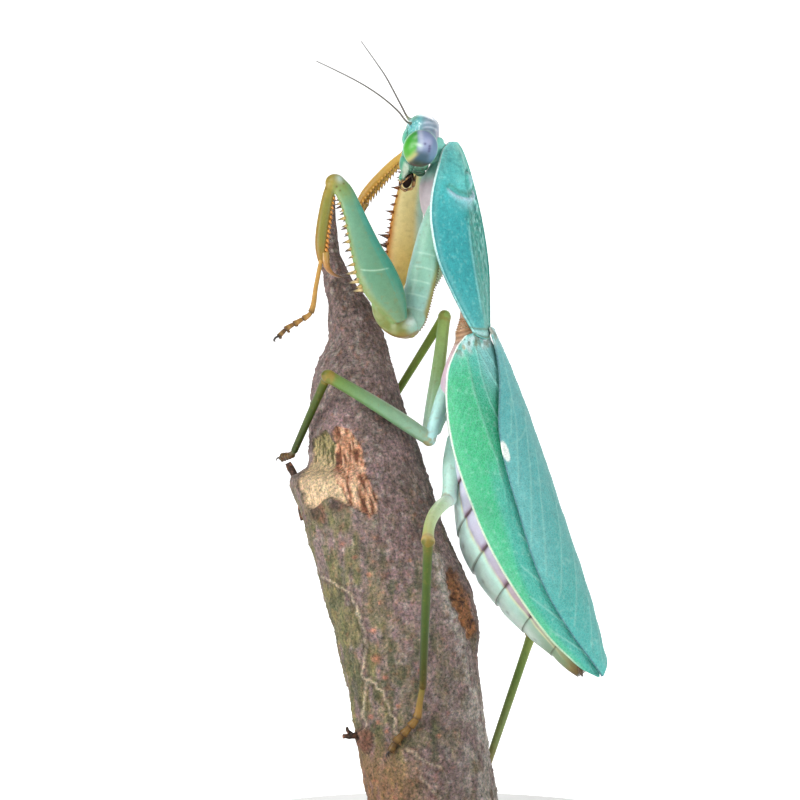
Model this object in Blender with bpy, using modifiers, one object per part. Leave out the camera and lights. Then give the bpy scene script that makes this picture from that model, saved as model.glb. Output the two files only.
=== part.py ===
"""A shield mantis, life size, gripping a cut length of branch on a plain display stand.

World frame: +Z up, the floor at Z = 0, the origin under the middle of the stand's base.
The mantis climbs along +Z with its belly towards -X and its left side towards -Y.
All sizes below are millimetres; MM turns them into Blender's metres.
The body parts are modelled in frames of their own, x to the animal's right, y forwards and
z to its back, and are turned into the pose by three empties: trunk, prothorax and head.
"""

import math

import bmesh
import bpy
from mathutils import Matrix, Vector

MM = 0.001
GAP = 0.3  # clearance between pieces that touch

# driving dimensions
WING_LENGTH = 56.3
WING_THICKNESS = 0.5
ROOF_RATIO = 0.8  # how steeply the folded wings fall: drop over half width
SHIELD_LENGTH = 31.3
SHIELD_THICKNESS = 0.8
SHIELD_DROP = 0.25  # how far the shield's margin falls, per half width
FEELER_RADIUS = 0.26
BODY_ROLL = math.radians(35)  # how far the back is turned from +X towards -Y

BASE_RADIUS = 40.0
BASE_HEIGHT = 4.0
ROD_RADIUS = 2.5
ROD_AT = (0.0, -2.0)
PERCH_FOOT = 8.2  # height of the perch's cut lower end

# The perch, from its broken tip down to its cut foot: height, left and right edge, centre of its
# depth and half its depth
PERCH = (
    (105.2, -16.6, -15.8, 10.0, 0.5),
    (100.9, -17.4, -15.3, 10.0, 1.3),
    (98.0, -17.8, -15.2, 9.8, 1.8),
    (94.4, -18.2, -14.1, 9.4, 2.5),
    (90.6, -17.7, -12.0, 9.0, 3.4),
    (87.4, -17.1, -10.2, 8.6, 4.1),
    (84.6, -17.1, -8.8, 8.2, 4.7),
    (81.7, -17.1, -7.9, 7.8, 5.3),
    (78.5, -18.6, -7.0, 7.3, 6.3),
    (73.6, -19.8, -5.5, 6.6, 7.5),
    (68.8, -20.1, -4.2, 5.8, 8.5),
    (64.0, -20.1, -2.4, 5.0, 9.4),
    (61.4, -20.3, -1.6, 4.7, 10.0),
    (59.4, -23.0, -0.9, 4.4, 10.8),
    (54.4, -21.5, 0.6, 3.8, 11.1),
    (49.6, -20.1, 2.3, 3.1, 11.1),
    (44.9, -18.6, 4.6, 2.5, 11.2),
    (40.1, -17.5, 6.3, 2.0, 11.4),
    (35.4, -16.0, 7.1, 1.4, 11.2),
    (30.6, -15.0, 6.8, 1.0, 10.9),
    (25.9, -13.8, 7.4, 0.4, 10.5),
    (20.0, -12.7, 8.0, -0.5, 10.3),
    (PERCH_FOOT, -10.5, 10.1, -2.0, 10.2),
)

# Leg joints in the world frame, in millimetres. A segment's width lies along "across", which
# points to the side that the leg folds to.
LEGS = {
    "fore_left": {
        "hip": (0.4, 0.0, 102.4), "elbow": (-4.5, -4.0, 82.9), "hinge": (-5.7, -7.6, 84.4),
        "knee": (-15.8, -5.0, 106.3), "ankle": (-17.9, -4.0, 94.0), "heel": (-19.5, -4.0, 85.8),
        "toe": (-24.6, -5.0, 81.9), "across": (-1.0, 0.0, -0.2),
    },
    "fore_right": {
        "hip": (4.6, 6.6, 102.1), "elbow": (-4.9, 9.4, 84.8), "hinge": (-4.7, 13.0, 87.4),
        "knee": (-4.1, 14.0, 112.2), "ankle": (-12.4, 12.6, 103.5), "heel": (-13.2, 9.4, 96.2),
        "toe": (-9.8, 8.6, 91.2), "across": (-1.0, 0.0, 0.0),
    },
    "mid_left": {
        "hip": (1.5, 2.4, 74.8), "elbow": (-0.9, -2.2, 65.8), "hinge": (-0.9, -2.2, 65.8),
        "knee": (-16.9, -5.4, 75.8), "ankle": (-22.4, 3.4, 63.9), "heel": (-23.6, 5.2, 63.0),
        "toe": (-25.6, 8.0, 62.4), "across": (0.0, 0.0, -1.0),
    },
    "mid_right": {
        "hip": (4.2, 7.0, 76.2), "elbow": (0.0, 6.0, 67.2), "hinge": (-0.9, 8.6, 67.0),
        "knee": (1.8, 13.6, 85.8), "ankle": (-7.0, 13.4, 71.6), "heel": (-8.8, 14.2, 68.8),
        "toe": (-11.6, 14.9, 64.6), "across": (-1.0, 0.0, 0.0),
    },
    "hind_left": {
        "hip": (3.2, 3.4, 65.8), "elbow": (2.2, -1.5, 56.2), "hinge": (2.2, -1.5, 56.2),
        "knee": (-1.3, -23.5, 50.8), "ankle": (-2.0, -13.0, 27.8), "heel": (-4.0, -11.6, 23.4),
        "toe": (-7.0, -10.4, 17.4), "across": (-1.0, 0.0, 0.0),
    },
    "hind_right": {
        "hip": (5.4, 8.0, 66.4), "elbow": (5.0, 12.9, 55.6), "hinge": (5.0, 12.9, 55.6),
        "knee": (16.2, 16.0, 33.5), "ankle": (8.3, 5.2, 12.6), "heel": (6.2, 7.0, 10.9),
        "toe": (0.9, 9.1, 12.6), "across": (-1.0, 0.0, 0.0),
    },
}

# A segment's two edges as (share of its length, reach on the folding side, reach on the other),
# then its thickness as a share of its width
SEGMENTS = {
    "fore": {
        "coxa": (((0, 1.5, 1.7), (0.2, 2.0, 2.3), (0.5, 2.1, 2.6), (0.75, 2.1, 2.4), (0.9, 3.9, 2.1),
                  (1, 4.0, 1.4)), 0.6),
        "femur": (((0, 0.8, 1.5), (0.1, 1.9, 2.4), (0.2, 2.9, 2.9), (0.35, 3.3, 3.0), (0.5, 2.9, 2.8),
                   (0.65, 2.3, 2.4), (0.8, 1.5, 2.3), (0.92, 0.9, 2.1), (1, 0.8, 1.5)), 0.5),
        "tibia": (((0, 0.5, 1.1), (0.2, 0.4, 1.5), (0.5, 0.4, 1.65), (0.75, 0.5, 1.5), (0.9, 0.6, 1.1),
                   (1, 0.9, 0.6)), 0.75),
        "tarsus": 0.42,
    },
    "mid": {
        "coxa": (((0, 1.2, 1.2), (0.4, 1.5, 1.5), (1, 1.3, 1.3)), 0.8),
        "femur": (((0, 1.1, 1.1), (0.2, 1.35, 1.35), (0.6, 1.25, 1.25), (1, 1.1, 1.1)), 0.85),
        "tibia": (((0, 0.75, 0.75), (0.3, 0.68, 0.68), (1, 0.6, 0.6)), 0.9),
        "tarsus": 0.4,
    },
    "hind": {
        "coxa": (((0, 1.2, 1.2), (0.4, 1.5, 1.5), (1, 1.3, 1.3)), 0.8),
        "femur": (((0, 1.1, 1.1), (0.25, 1.3, 1.3), (0.7, 1.0, 1.0), (1, 1.0, 1.0)), 0.85),
        "tibia": (((0, 0.75, 0.75), (0.3, 0.65, 0.65), (1, 0.55, 0.55)), 0.9),
        "tarsus": 0.4,
    },
}
# Rows of spines as (first, last) share of the length, how many, how long and how raked
SPINES = {"femur": (0.26, 0.84, 9, 0.95, 0.1), "tibia": (0.22, 0.92, 8, 0.75, 0.8)}
JOINT_SETBACK = 1.7
CLAW = ((0.5, 0.8), (1.1, -0.9), (2.4, -1.9), (3.6, -2.0), (4.4, -1.9))  # across and down, from the ankle


def smooth(stations, values, at):
    """The value at a station, on a smooth curve through a few (station, value) pairs."""
    at = min(max(at, stations[0]), stations[-1])
    i = max(k for k in range(len(stations) - 1) if stations[k] <= at)

    def slope(k):
        low, high = max(k - 1, 0), min(k + 1, len(stations) - 1)
        return (values[high] - values[low]) / (stations[high] - stations[low])

    span = stations[i + 1] - stations[i]
    t = (at - stations[i]) / span
    rise = values[i + 1] - values[i]
    return (values[i] + rise * t * t * (3 - 2 * t)
            + slope(i) * span * t * (1 - t) ** 2 - slope(i + 1) * span * t * t * (1 - t))


def collection(name, hidden=False):
    made = bpy.data.collections.new(name)
    made.hide_render = hidden
    bpy.context.scene.collection.children.link(made)
    return made


def clear_scene():
    for obj in list(bpy.data.objects):
        bpy.data.objects.remove(obj)


def material(name, rgb, roughness=0.5, metallic=0.0):
    made = bpy.data.materials.get(name)
    if made is None:
        made = bpy.data.materials.new(name)
        made.use_nodes = True
        shader = made.node_tree.nodes["Principled BSDF"]
        shader.inputs["Base Color"].default_value = (*rgb, 1.0)
        shader.inputs["Roughness"].default_value = roughness
        shader.inputs["Metallic"].default_value = metallic
        made.diffuse_color = (*rgb, 1.0)
    return made


def add_mesh(name, bm, mat, frame=None):
    """An object from a bmesh in millimetres, in the frame's own coordinates."""
    bmesh.ops.scale(bm, vec=(MM, MM, MM), verts=bm.verts)
    mesh = bpy.data.meshes.new(name)
    bm.to_mesh(mesh)
    bm.free()
    mesh.shade_smooth()
    mesh.set_sharp_from_angle(angle=math.radians(40))
    mesh.materials.append(mat)
    obj = bpy.data.objects.new(name, mesh)
    MANTIS.objects.link(obj)
    obj.parent = frame
    return obj


def settle(obj):
    """Applies an object's modifiers."""
    bpy.context.view_layer.update()
    graph = bpy.context.evaluated_depsgraph_get()
    mesh = bpy.data.meshes.new_from_object(obj.evaluated_get(graph))
    obj.modifiers.clear()
    obj.data = mesh
    return obj


def combine(obj, other, operation):
    boolean = obj.modifiers.new(operation.title(), "BOOLEAN")
    boolean.operation = operation
    boolean.object = other
    return settle(obj)


def clear_of(piece, *neighbours):
    """Trims a piece where it would run into its neighbours, leaving the gap between them."""
    for neighbour in neighbours:
        cutter = neighbour.copy()
        cutter.data = neighbour.data.copy()
        CUTTERS.objects.link(cutter)
        cutter.display_type = "WIRE"
        grow = cutter.modifiers.new("Clearance", "DISPLACE")
        grow.strength = GAP * MM
        grow.mid_level = 0.0
        combine(piece, cutter, "DIFFERENCE")
        bpy.data.objects.remove(cutter)
    return piece


def loft(name, rings, mat, frame=None):
    """A closed solid through rings of unlike shape, each a list of points in millimetres."""
    bm = bmesh.new()
    made = [[bm.verts.new(p) for p in ring] for ring in rings]
    sides = len(rings[0])
    for low, high in zip(made, made[1:]):
        for k in range(sides):
            bm.faces.new((low[k], low[(k + 1) % sides], high[(k + 1) % sides], high[k]))
    bm.faces.new(reversed(made[0]))
    bm.faces.new(made[-1])
    bmesh.ops.recalc_face_normals(bm, faces=bm.faces)
    return add_mesh(name, bm, mat, frame)


def oval(centre, u, v, wide, thick, sides):
    turns = [2 * math.pi * (k + 0.5) / sides for k in range(sides)]
    return [centre + u * (wide * math.cos(a)) + v * (thick * math.sin(a)) for a in turns]


def ellipsoid(name, centre, radii, mat, frame, segments=14, rings=9, turn=None):
    bm = bmesh.new()
    bmesh.ops.create_uvsphere(bm, u_segments=segments, v_segments=rings, radius=1.0)
    place = Matrix.Translation(centre) @ (turn or Matrix.Identity(4)) @ Matrix.Diagonal((*radii, 1))
    bmesh.ops.transform(bm, matrix=place, verts=bm.verts)
    return add_mesh(name, bm, mat, frame)


def tube(name, points, radii, mat, bevel_resolution=2):
    """A tapered round tube as a curve with filled caps, turned into a mesh so that it can be cut."""
    curve = bpy.data.curves.new(name, "CURVE")
    curve.dimensions = "3D"
    curve.bevel_depth = MM
    curve.bevel_resolution = bevel_resolution
    curve.use_fill_caps = True
    spline = curve.splines.new("POLY")
    spline.points.add(len(points) - 1)
    for point, co, radius in zip(spline.points, points, radii):
        point.co = (*(Vector(co) * MM), 1.0)
        point.radius = radius
    rail = bpy.data.objects.new(name + "_rail", curve)
    CUTTERS.objects.link(rail)
    bpy.context.view_layer.update()
    graph = bpy.context.evaluated_depsgraph_get()
    mesh = bpy.data.meshes.new_from_object(rail.evaluated_get(graph))
    bm = bmesh.new()
    bm.from_mesh(mesh)
    bmesh.ops.remove_doubles(bm, verts=bm.verts, dist=1e-6)
    bmesh.ops.recalc_face_normals(bm, faces=bm.faces)
    bmesh.ops.scale(bm, vec=(1 / MM,) * 3, verts=bm.verts)
    bpy.data.objects.remove(rail)
    return add_mesh(name, bm, mat)


def spike(name, root, tip, radius, sides=4):
    """A thin cone from root to tip, to be joined to what it grows from."""
    root, tip = Vector(root), Vector(tip)
    bm = bmesh.new()
    bmesh.ops.create_cone(bm, cap_ends=True, segments=sides, radius1=radius, radius2=0.12,
                          depth=(tip - root).length)
    turn = (tip - root).to_track_quat("Z", "Y").to_matrix().to_4x4()
    bmesh.ops.transform(bm, matrix=Matrix.Translation((root + tip) / 2) @ turn, verts=bm.verts)
    return add_mesh(name, bm, CUTICLE)


def join_on(piece, spikes):
    """Joins spikes to the piece they grow from, as one solid."""
    for extra in spikes:
        combine(piece, extra, "UNION")
        bpy.data.objects.remove(extra)
    return piece


def frame_empty(name, at, turn):
    empty = bpy.data.objects.new(name, None)
    empty.matrix_world = Matrix.Translation(Vector(at) * MM) @ turn
    MANTIS.objects.link(empty)
    return empty


def climbing(lean, away, roll):
    """Turns an animal modelled level and facing +y so that it climbs +Z with its back to +X.
    lean tips its head towards -X, away tips it towards +Y, and roll turns its back to -Y."""
    upright = Matrix(((0, 0, 1, 0), (1, 0, 0, 0), (0, 1, 0, 0), (0, 0, 0, 1)))
    return (Matrix.Rotation(-lean, 4, "Y") @ Matrix.Rotation(-away, 4, "X")
            @ Matrix.Rotation(-roll, 4, "Z") @ upright)


# ---- display stand and perch

def build_stand():
    bm = bmesh.new()
    bmesh.ops.create_cone(bm, cap_ends=True, segments=48, radius1=BASE_RADIUS, radius2=BASE_RADIUS,
                          depth=BASE_HEIGHT)
    bmesh.ops.translate(bm, vec=(0, 0, BASE_HEIGHT / 2), verts=bm.verts)
    add_mesh("stand_base", bm, STAND)
    bottom, top = BASE_HEIGHT + GAP, PERCH_FOOT - GAP
    bm = bmesh.new()
    bmesh.ops.create_cone(bm, cap_ends=True, segments=12, radius1=ROD_RADIUS, radius2=ROD_RADIUS,
                          depth=top - bottom)
    bmesh.ops.translate(bm, vec=(*ROD_AT, (top + bottom) / 2), verts=bm.verts)
    add_mesh("stand_rod", bm, STAND)


def build_perch():
    sides = 16
    rings = []
    for height, left, right, back, deep in PERCH:
        ring = []
        for j in range(sides):
            angle = 2 * math.pi * j / sides
            # slow swellings of the branch, fading out towards the broken tip
            swell = 0.03 * math.sin(3 * angle + height / 9) + 0.02 * math.sin(5 * angle - height / 6)
            swell = 1 + swell * min(1.0, (105 - height) / 30) * abs(math.sin(angle))
            ring.append(Vector(((left + right) / 2 + (right - left) / 2 * math.cos(angle),
                                back + deep * swell * math.sin(angle), height)))
        rings.append(ring)
    perch = loft("perch", rings, BARK)
    # the strip of torn bark that the left middle foot stands on, and the stub of a twig
    strip = tube("strip", [(-20.6, 5.0, 55.4), (-21.9, 5.0, 58.6), (-22.8, 5.1, 60.4), (-23.6, 5.2, 62.0)],
                 (1.2, 1.0, 0.75, 0.55), BARK, 1)
    twig = spike("twig", (-9.0, -3.0, 19.4), (-14.6, -5.6, 19.2), 1.0, 6)
    return join_on(perch, [strip, twig])


# ---- trunk: thorax, abdomen and folded wings, in the trunk's frame

ABDOMEN = {  # distance behind the wing hinge, depth below the wings' ridge, half width, half height
    "at": (9.0, 15.0, 20.5, 27.0, 32.5, 39.2, 45.0, 50.0, 53.5, 55.4),
    "deep": (7.3, 7.9, 8.7, 9.7, 9.3, 8.1, 6.5, 5.1, 4.2, 3.7),
    "wide": (5.2, 6.6, 7.8, 8.4, 8.3, 7.5, 6.1, 4.5, 2.8, 1.3),
    "tall": (4.6, 5.2, 6.2, 6.8, 6.5, 5.3, 4.1, 2.5, 1.5, 0.8),
}
SEGMENT_ENDS = (13.9, 19.8, 25.6, 32.0, 38.6, 44.5, 50.3, 55.4)
SEGMENT_TILT = 0.6  # how far each ring leans back towards the belly, per millimetre

WING = {  # distance behind the hinge, roof half width, and the costal and hind edges in degrees
    "at": (0.0, 4.0, 12.0, 24.0, 37.0, 48.0, WING_LENGTH),
    "half": (6.5, 8.8, 10.3, 10.6, 9.9, 7.5, 3.4),
    "costal_at": (0.0, 4.0, 15.0, 28.0, 43.0, 52.0, 55.5, WING_LENGTH),
    "costal": (58, 71, 80, 80, 71, 62, 50, 10),
    "hind_at": (0.0, 5.0, 15.0, 29.0, 40.0, 49.0, 54.0, WING_LENGTH),
    "hind": (0, 0, 27, 36, 40, 35, 18, -8),
}


def roof(back, angle, sunk):
    """A point on the roof that the folded wings make, sunk below it along its slope."""
    half = smooth(WING["at"], WING["half"], back)
    drop = half * ROOF_RATIO
    x, z = half * math.sin(angle), -drop * (1 - math.cos(angle))
    slope = Vector((drop * math.sin(angle), 0, half * math.cos(angle))).normalized()
    return Vector((x, -back, z)) - slope * sunk


def build_wing(name, side, sunk, along, over, span=None, length=WING_LENGTH):
    """A wing folded over the abdomen. side is 1 for the right wing and -1 for the left."""
    bpy.ops.mesh.primitive_grid_add(x_subdivisions=over, y_subdivisions=along, size=2.0)
    grid = bpy.context.object
    mesh = grid.data
    for vertex in mesh.vertices:
        q = (vertex.co.x * side + 1) / 2  # 0 at the hind edge, 1 at the costal edge
        back = length * (1 - vertex.co.y) / 2
        costal = smooth(WING["costal_at"], WING["costal"], back)
        hind = -smooth(WING["hind_at"], WING["hind"], back)
        if span:
            costal, hind = costal * span[0] + 2, span[1]
        angle = math.radians(hind + (costal - hind) * q) * side
        vertex.co = roof(back, angle, sunk) * MM
    wing = bpy.data.objects.new(name, mesh)
    bpy.data.objects.remove(grid)
    MANTIS.objects.link(wing)
    wing.parent = TRUNK
    mesh.shade_smooth()
    mesh.materials.append(WING_SKIN)
    shell = wing.modifiers.new("Shell", "SOLIDIFY")
    shell.thickness = WING_THICKNESS * MM
    shell.offset = -1.0
    return settle(wing)


def trunk_ring(back, deep, wide, tall, tilt=0.0, sides=14):
    slope = Vector((0, tilt, 1))
    return oval(Vector((0, -back, -deep)), Vector((1, 0, 0)), slope, wide, tall, sides)


def abdomen_ring(back, share=1.0):
    deep, wide, tall = (smooth(ABDOMEN["at"], ABDOMEN[k], back) for k in ("deep", "wide", "tall"))
    return trunk_ring(back, deep, wide * share, tall * share, SEGMENT_TILT)


def build_trunk():
    stations = ((-3.0, 3.6, 1.6, 1.2, 0.0), (-1.6, 4.8, 2.9, 2.3, 0.1), (1.4, 5.6, 4.0, 3.0, 0.2),
                (6.0, 6.6, 4.9, 3.9, 0.4), (10.0, 7.1, 5.2, 4.5, 0.5), (13.5, 7.5, 5.5, 4.7, SEGMENT_TILT))
    loft("thorax", [trunk_ring(*station) for station in stations], CUTICLE, TRUNK)
    for k, (front, rear) in enumerate(zip(SEGMENT_ENDS, SEGMENT_ENDS[1:]), 1):
        front += GAP * 1.3
        rings = [abdomen_ring(front, 0.955), abdomen_ring(front + 0.4 * (rear - front)), abdomen_ring(rear)]
        name = f"abdomen_{k}" if rear < SEGMENT_ENDS[-1] else "abdomen_tip"
        loft(name, rings, CUTICLE, TRUNK)
    layer = WING_THICKNESS + GAP
    build_wing("tegmen_right", 1, 0.0, 16, 8)
    build_wing("tegmen_left", -1, layer, 16, 8)
    for name, side in (("hindwing_right", 1), ("hindwing_left", -1)):
        build_wing(name, side, 2 * layer, 9, 3, span=(0.5, 3.0), length=54.0)
    for name, side in (("cercus_right", 1), ("cercus_left", -1)):
        root, tip = Vector((1.3 * side, -51.6, -3.3)), Vector((2.2 * side, -55.8, -3.0))
        rings = [oval(root.lerp(tip, t), Vector((1, 0, 0)), Vector((0, 0, 1)), r, r * 0.8, 6)
                 for t, r in ((0, 0.4), (0.4, 0.5), (0.8, 0.4), (1, 0.27))]
        clear_of(loft(name, rings, CUTICLE, TRUNK), bpy.data.objects["abdomen_tip"])


# ---- prothorax: the leaf-shaped shield over a slim body, in the prothorax's frame

SHIELD = {"at": (0.0, 1.2, 4.0, 7.0, 11.6, 16.0, 20.5, 24.5, 28.0, 30.3, SHIELD_LENGTH),
          "half": (1.9, 2.7, 4.0, 5.3, 6.9, 7.4, 7.0, 5.7, 4.0, 2.6, 1.2)}


def build_shield():
    bpy.ops.mesh.primitive_grid_add(x_subdivisions=8, y_subdivisions=15, size=2.0)
    grid = bpy.context.object
    mesh = grid.data
    for vertex in mesh.vertices:
        across = vertex.co.x
        forward = SHIELD_LENGTH * (1 + vertex.co.y) / 2
        half = smooth(SHIELD["at"], SHIELD["half"], forward)
        fall = SHIELD_DROP * half * abs(across) ** 1.7
        ridge = 0.1 * math.exp(-(across * half / 1.3) ** 2)
        swell = 1.15 * math.exp(-((forward - 24.5) / 6.0) ** 2 - (across * half / 4.5) ** 2)
        vertex.co = Vector((half * across, forward, ridge + swell - fall)) * MM
    shield = bpy.data.objects.new("pronotum", mesh)
    bpy.data.objects.remove(grid)
    MANTIS.objects.link(shield)
    shield.parent = PROTHORAX
    mesh.shade_smooth()
    mesh.materials.append(SHIELD_SKIN)
    shell = shield.modifiers.new("Shell", "SOLIDIFY")
    shell.thickness = SHIELD_THICKNESS * MM
    shell.offset = -1.0
    return settle(shield)


def build_prothorax(shield):
    stations = ((1.2, 2.2, 1.3, 1.0), (5.0, 2.6, 1.8, 1.5), (13.0, 3.0, 2.2, 1.9), (19.5, 3.5, 2.9, 2.5),
                (23.0, 3.4, 2.9, 2.4), (26.5, 3.0, 2.3, 1.9), (28.2, 2.7, 1.7, 1.4))
    rings = [oval(Vector((0, y, -z)), Vector((1, 0, 0)), Vector((0, 0, 1)), a, b, 10)
             for y, z, a, b in stations]
    return clear_of(loft("prothorax", rings, CUTICLE, PROTHORAX), shield)


# ---- head, in the head's frame: x to its right, y the way it faces, z up to the crown

def build_head():
    # height, half width, front and back of the head capsule, down to the upper lip
    levels = ((4.6, 1.0, 1.4, -0.4), (4.15, 2.3, 2.6, -1.4), (3.2, 3.1, 3.2, -2.0), (1.8, 3.4, 3.4, -2.3),
              (0.0, 3.1, 3.2, -2.3), (-2.0, 2.5, 3.0, -2.1), (-3.2, 2.1, 2.8, -1.5), (-4.0, 1.8, 2.7, 0.7),
              (-5.2, 1.5, 2.5, 1.0), (-6.3, 1.2, 2.2, 1.0), (-7.1, 0.6, 1.8, 1.1))
    rings = [oval(Vector((0, (front + back) / 2, z)), Vector((1, 0, 0)), Vector((0, 1, 0)),
                  half, (front - back) / 2, 14) for z, half, front, back in levels]
    head = loft("head", rings, HEAD_SKIN, HEAD)
    eyes = []
    for name, side in (("eye_right", 1), ("eye_left", -1)):
        turn = Matrix.Rotation(side * math.radians(16), 4, "Y")
        eyes.append(ellipsoid(name, (3.1 * side, 0.35, -0.1), (2.0, 2.95, 3.0), EYE, HEAD, 12, 8, turn))
    clear_of(head, *eyes)
    jaws = ellipsoid("mandibles", (0, 0.3, -5.8), (1.5, 1.4, 1.4), JAW, HEAD, 10, 7)
    clear_of(jaws, head)
    return head


def build_neck(head, shield, prothorax, *eyes):
    back_of_head = HEAD.matrix_world @ (Vector((0, -1.2, 1.1)) * MM) / MM
    front_of_chest = PROTHORAX.matrix_world @ (Vector((0, 27.6, -2.1)) * MM) / MM
    points = [front_of_chest.lerp(back_of_head, t) for t in (0, 0.33, 0.66, 1)]
    neck = tube("neck", points, (1.5, 1.7, 1.8, 1.7), CUTICLE)
    return clear_of(neck, head, shield, prothorax, *eyes)


def build_feelers(head):
    paths = {
        "antenna_left": [(-0.8, 2.8, 2.8), (-4.5, -2.4, 116.0), (-5.9, -3.2, 117.6), (-8.4, -4.6, 119.6),
                         (-11.6, -6.4, 121.5), (-15.8, -8.8, 123.4), (-18.5, -10.3, 124.5)],
        "antenna_right": [(0.8, 2.8, 3.2), (-4.2, 1.4, 116.9), (-5.3, 3.2, 119.1), (-7.7, 7.6, 124.1),
                          (-9.0, 9.7, 126.3), (-11.9, 14.0, 130.9)],
    }
    for name, (root, *rest) in paths.items():
        start = HEAD.matrix_world @ (Vector(root) * MM) / MM
        points = smooth_path([start, *[Vector(p) for p in rest]], 10)
        feeler = tube(name, points, [FEELER_RADIUS * 1.5] + [FEELER_RADIUS] * 9, HORN, 1)
        clear_of(feeler, head)


def smooth_path(points, count):
    """Points spread along a smooth curve through the given ones."""
    at = [0.0]
    for a, b in zip(points, points[1:]):
        at.append(at[-1] + (b - a).length)
    steps = [at[-1] * k / (count - 1) for k in range(count)]
    return [Vector([smooth(at, [p[axis] for p in points], s) for axis in range(3)]) for s in steps]


# ---- legs

def across_axis(start, end, across):
    along = (end - start).normalized()
    across = Vector(across)
    return along, (across - along * across.dot(along)).normalized()


def segment(name, start, end, edges, flatness, across, mat, sides=8, steps=6):
    """A leg segment: an oval loft from start to end between the two edges, with domed ends."""
    along, inward = across_axis(start, end, across)
    side = along.cross(inward)
    rings = []
    for k in range(steps + 1):
        t = k / steps
        inner, outer = (smooth([e[0] for e in edges], [e[i] for e in edges], t) for i in (1, 2))
        half = (inner + outer) / 2
        centre = start.lerp(end, t) + inward * (inner - outer) / 2
        rings.append(oval(centre, inward, side, half, half * flatness, sides))
    ends = []
    for ring, way in ((rings[0], -1), (rings[-1], 1)):
        centre = sum(ring, Vector()) / sides
        dome = 0.45 * min((p - centre).length for p in ring)
        ends.append([p.lerp(centre, 0.45) + along * (way * dome) for p in ring])
    return loft(name, [ends[0], *rings, ends[1]], mat)


def spine_row(start, end, across, edges, first, last, count, length, rake):
    """Spikes along the folding edge of a segment, long and short in turn."""
    along, inward = across_axis(start, end, across)
    out = (inward + along * rake).normalized()
    made = []
    for k in range(count):
        t = first + (last - first) * k / (count - 1)
        reach = smooth([e[0] for e in edges], [e[1] for e in edges], t)
        root = start.lerp(end, t) + inward * (reach - 0.5)
        tall = length * (1.2 if k % 2 == 0 else 0.7)
        made.append(spike(f"spike_{k}", root, root + inward * 0.5 + out * tall, 0.42))
    return made


def build_leg(name, body, perch):
    kind, side = name.split("_")
    at = {key: Vector(value) for key, value in LEGS[name].items()}
    sizes = SEGMENTS[kind]
    ends = {"coxa": ("hip", "elbow"), "femur": ("hinge", "knee"), "tibia": ("knee", "ankle")}
    pieces = {}
    for part, (a, b) in ends.items():
        edges, flatness = sizes[part]
        if kind != "fore" and part != "coxa":  # clear of the rounded end of the segment before it
            at[a] = at[a] + (at[b] - at[a]).normalized() * JOINT_SETBACK
        fine = kind == "fore" and part != "tibia"
        across = -at["across"] if part == "tibia" and kind == "fore" else at["across"]
        pieces[part] = segment(f"{kind}_{part}_{side}", at[a], at[b], edges, flatness, across, CUTICLE,
                               10 if fine else 8, 8 if fine else 5)
    radius = sizes["tarsus"]
    ankle, heel, toe = at["ankle"], at["heel"], at["toe"]
    if kind == "fore":
        ankle = ankle + across_axis(at["knee"], ankle, at["across"])[1] * 0.4 - Vector((0, 0.75, 0))
    points = [ankle, ankle.lerp(heel, 0.5), heel, heel.lerp(toe, 0.35), heel.lerp(toe, 0.7), toe]
    pieces["tarsus"] = tube(f"{kind}_tarsus_{side}", points,
                            [radius * s for s in (1.0, 0.95, 1.2, 1.1, 1.2, 0.7)], CUTICLE, 1)
    clear_of(pieces["coxa"], *body)
    clear_of(pieces["femur"], pieces["coxa"])
    clear_of(pieces["tibia"], pieces["femur"])
    clear_of(pieces["tarsus"], pieces["tibia"], perch)
    if kind == "fore":
        across = at["across"]
        join_on(pieces["femur"], spine_row(at["hinge"], at["knee"], across, sizes["femur"][0],
                                           *SPINES["femur"]))
        join_on(pieces["tibia"], spine_row(at["knee"], at["ankle"], -across, sizes["tibia"][0],
                                           *SPINES["tibia"]))
        along, inward = across_axis(at["knee"], at["ankle"], -across)
        hook = [at["ankle"] + inward * x - along * z for x, z in CLAW]
        join_on(pieces["tibia"], [tube("hook", hook, (0.6, 0.7, 0.6, 0.4, 0.26), CUTICLE, 1)])


clear_scene()
MANTIS = collection("mantis_on_perch")
CUTTERS = collection("cutters", hidden=True)
CUTICLE = material("leg_cuticle", (0.35, 0.55, 0.32), 0.45)
WING_SKIN = material("wing_cuticle", (0.13, 0.52, 0.38), 0.5)
SHIELD_SKIN = material("shield_cuticle", (0.12, 0.5, 0.5), 0.45)
HEAD_SKIN = material("head_cuticle", (0.3, 0.6, 0.55), 0.4)
EYE = material("eye_facets", (0.25, 0.42, 0.3), 0.15)
JAW = material("jaw_horn", (0.06, 0.03, 0.02), 0.3)
HORN = material("feeler_horn", (0.12, 0.1, 0.09), 0.5)
BARK = material("bark", (0.16, 0.11, 0.09), 0.9)
STAND = material("stand_lacquer", (0.75, 0.74, 0.72), 0.5)

TRUNK = frame_empty("trunk", (8.5, 0.0, 82.2), climbing(math.radians(19.3), 0.0, BODY_ROLL))
PROTHORAX = frame_empty("prothorax_frame", (8.0, 0.0, 82.4),
                        climbing(math.radians(9.2), math.radians(5.0), BODY_ROLL))
HEAD = frame_empty("head_frame", (-2.0, 1.0, 112.7),
                   Matrix.Rotation(math.radians(17), 4, "Y") @ Matrix.Rotation(math.radians(93), 4, "Z")
                   @ Matrix.Rotation(math.radians(-12), 4, "Y"))
bpy.context.view_layer.update()

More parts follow.
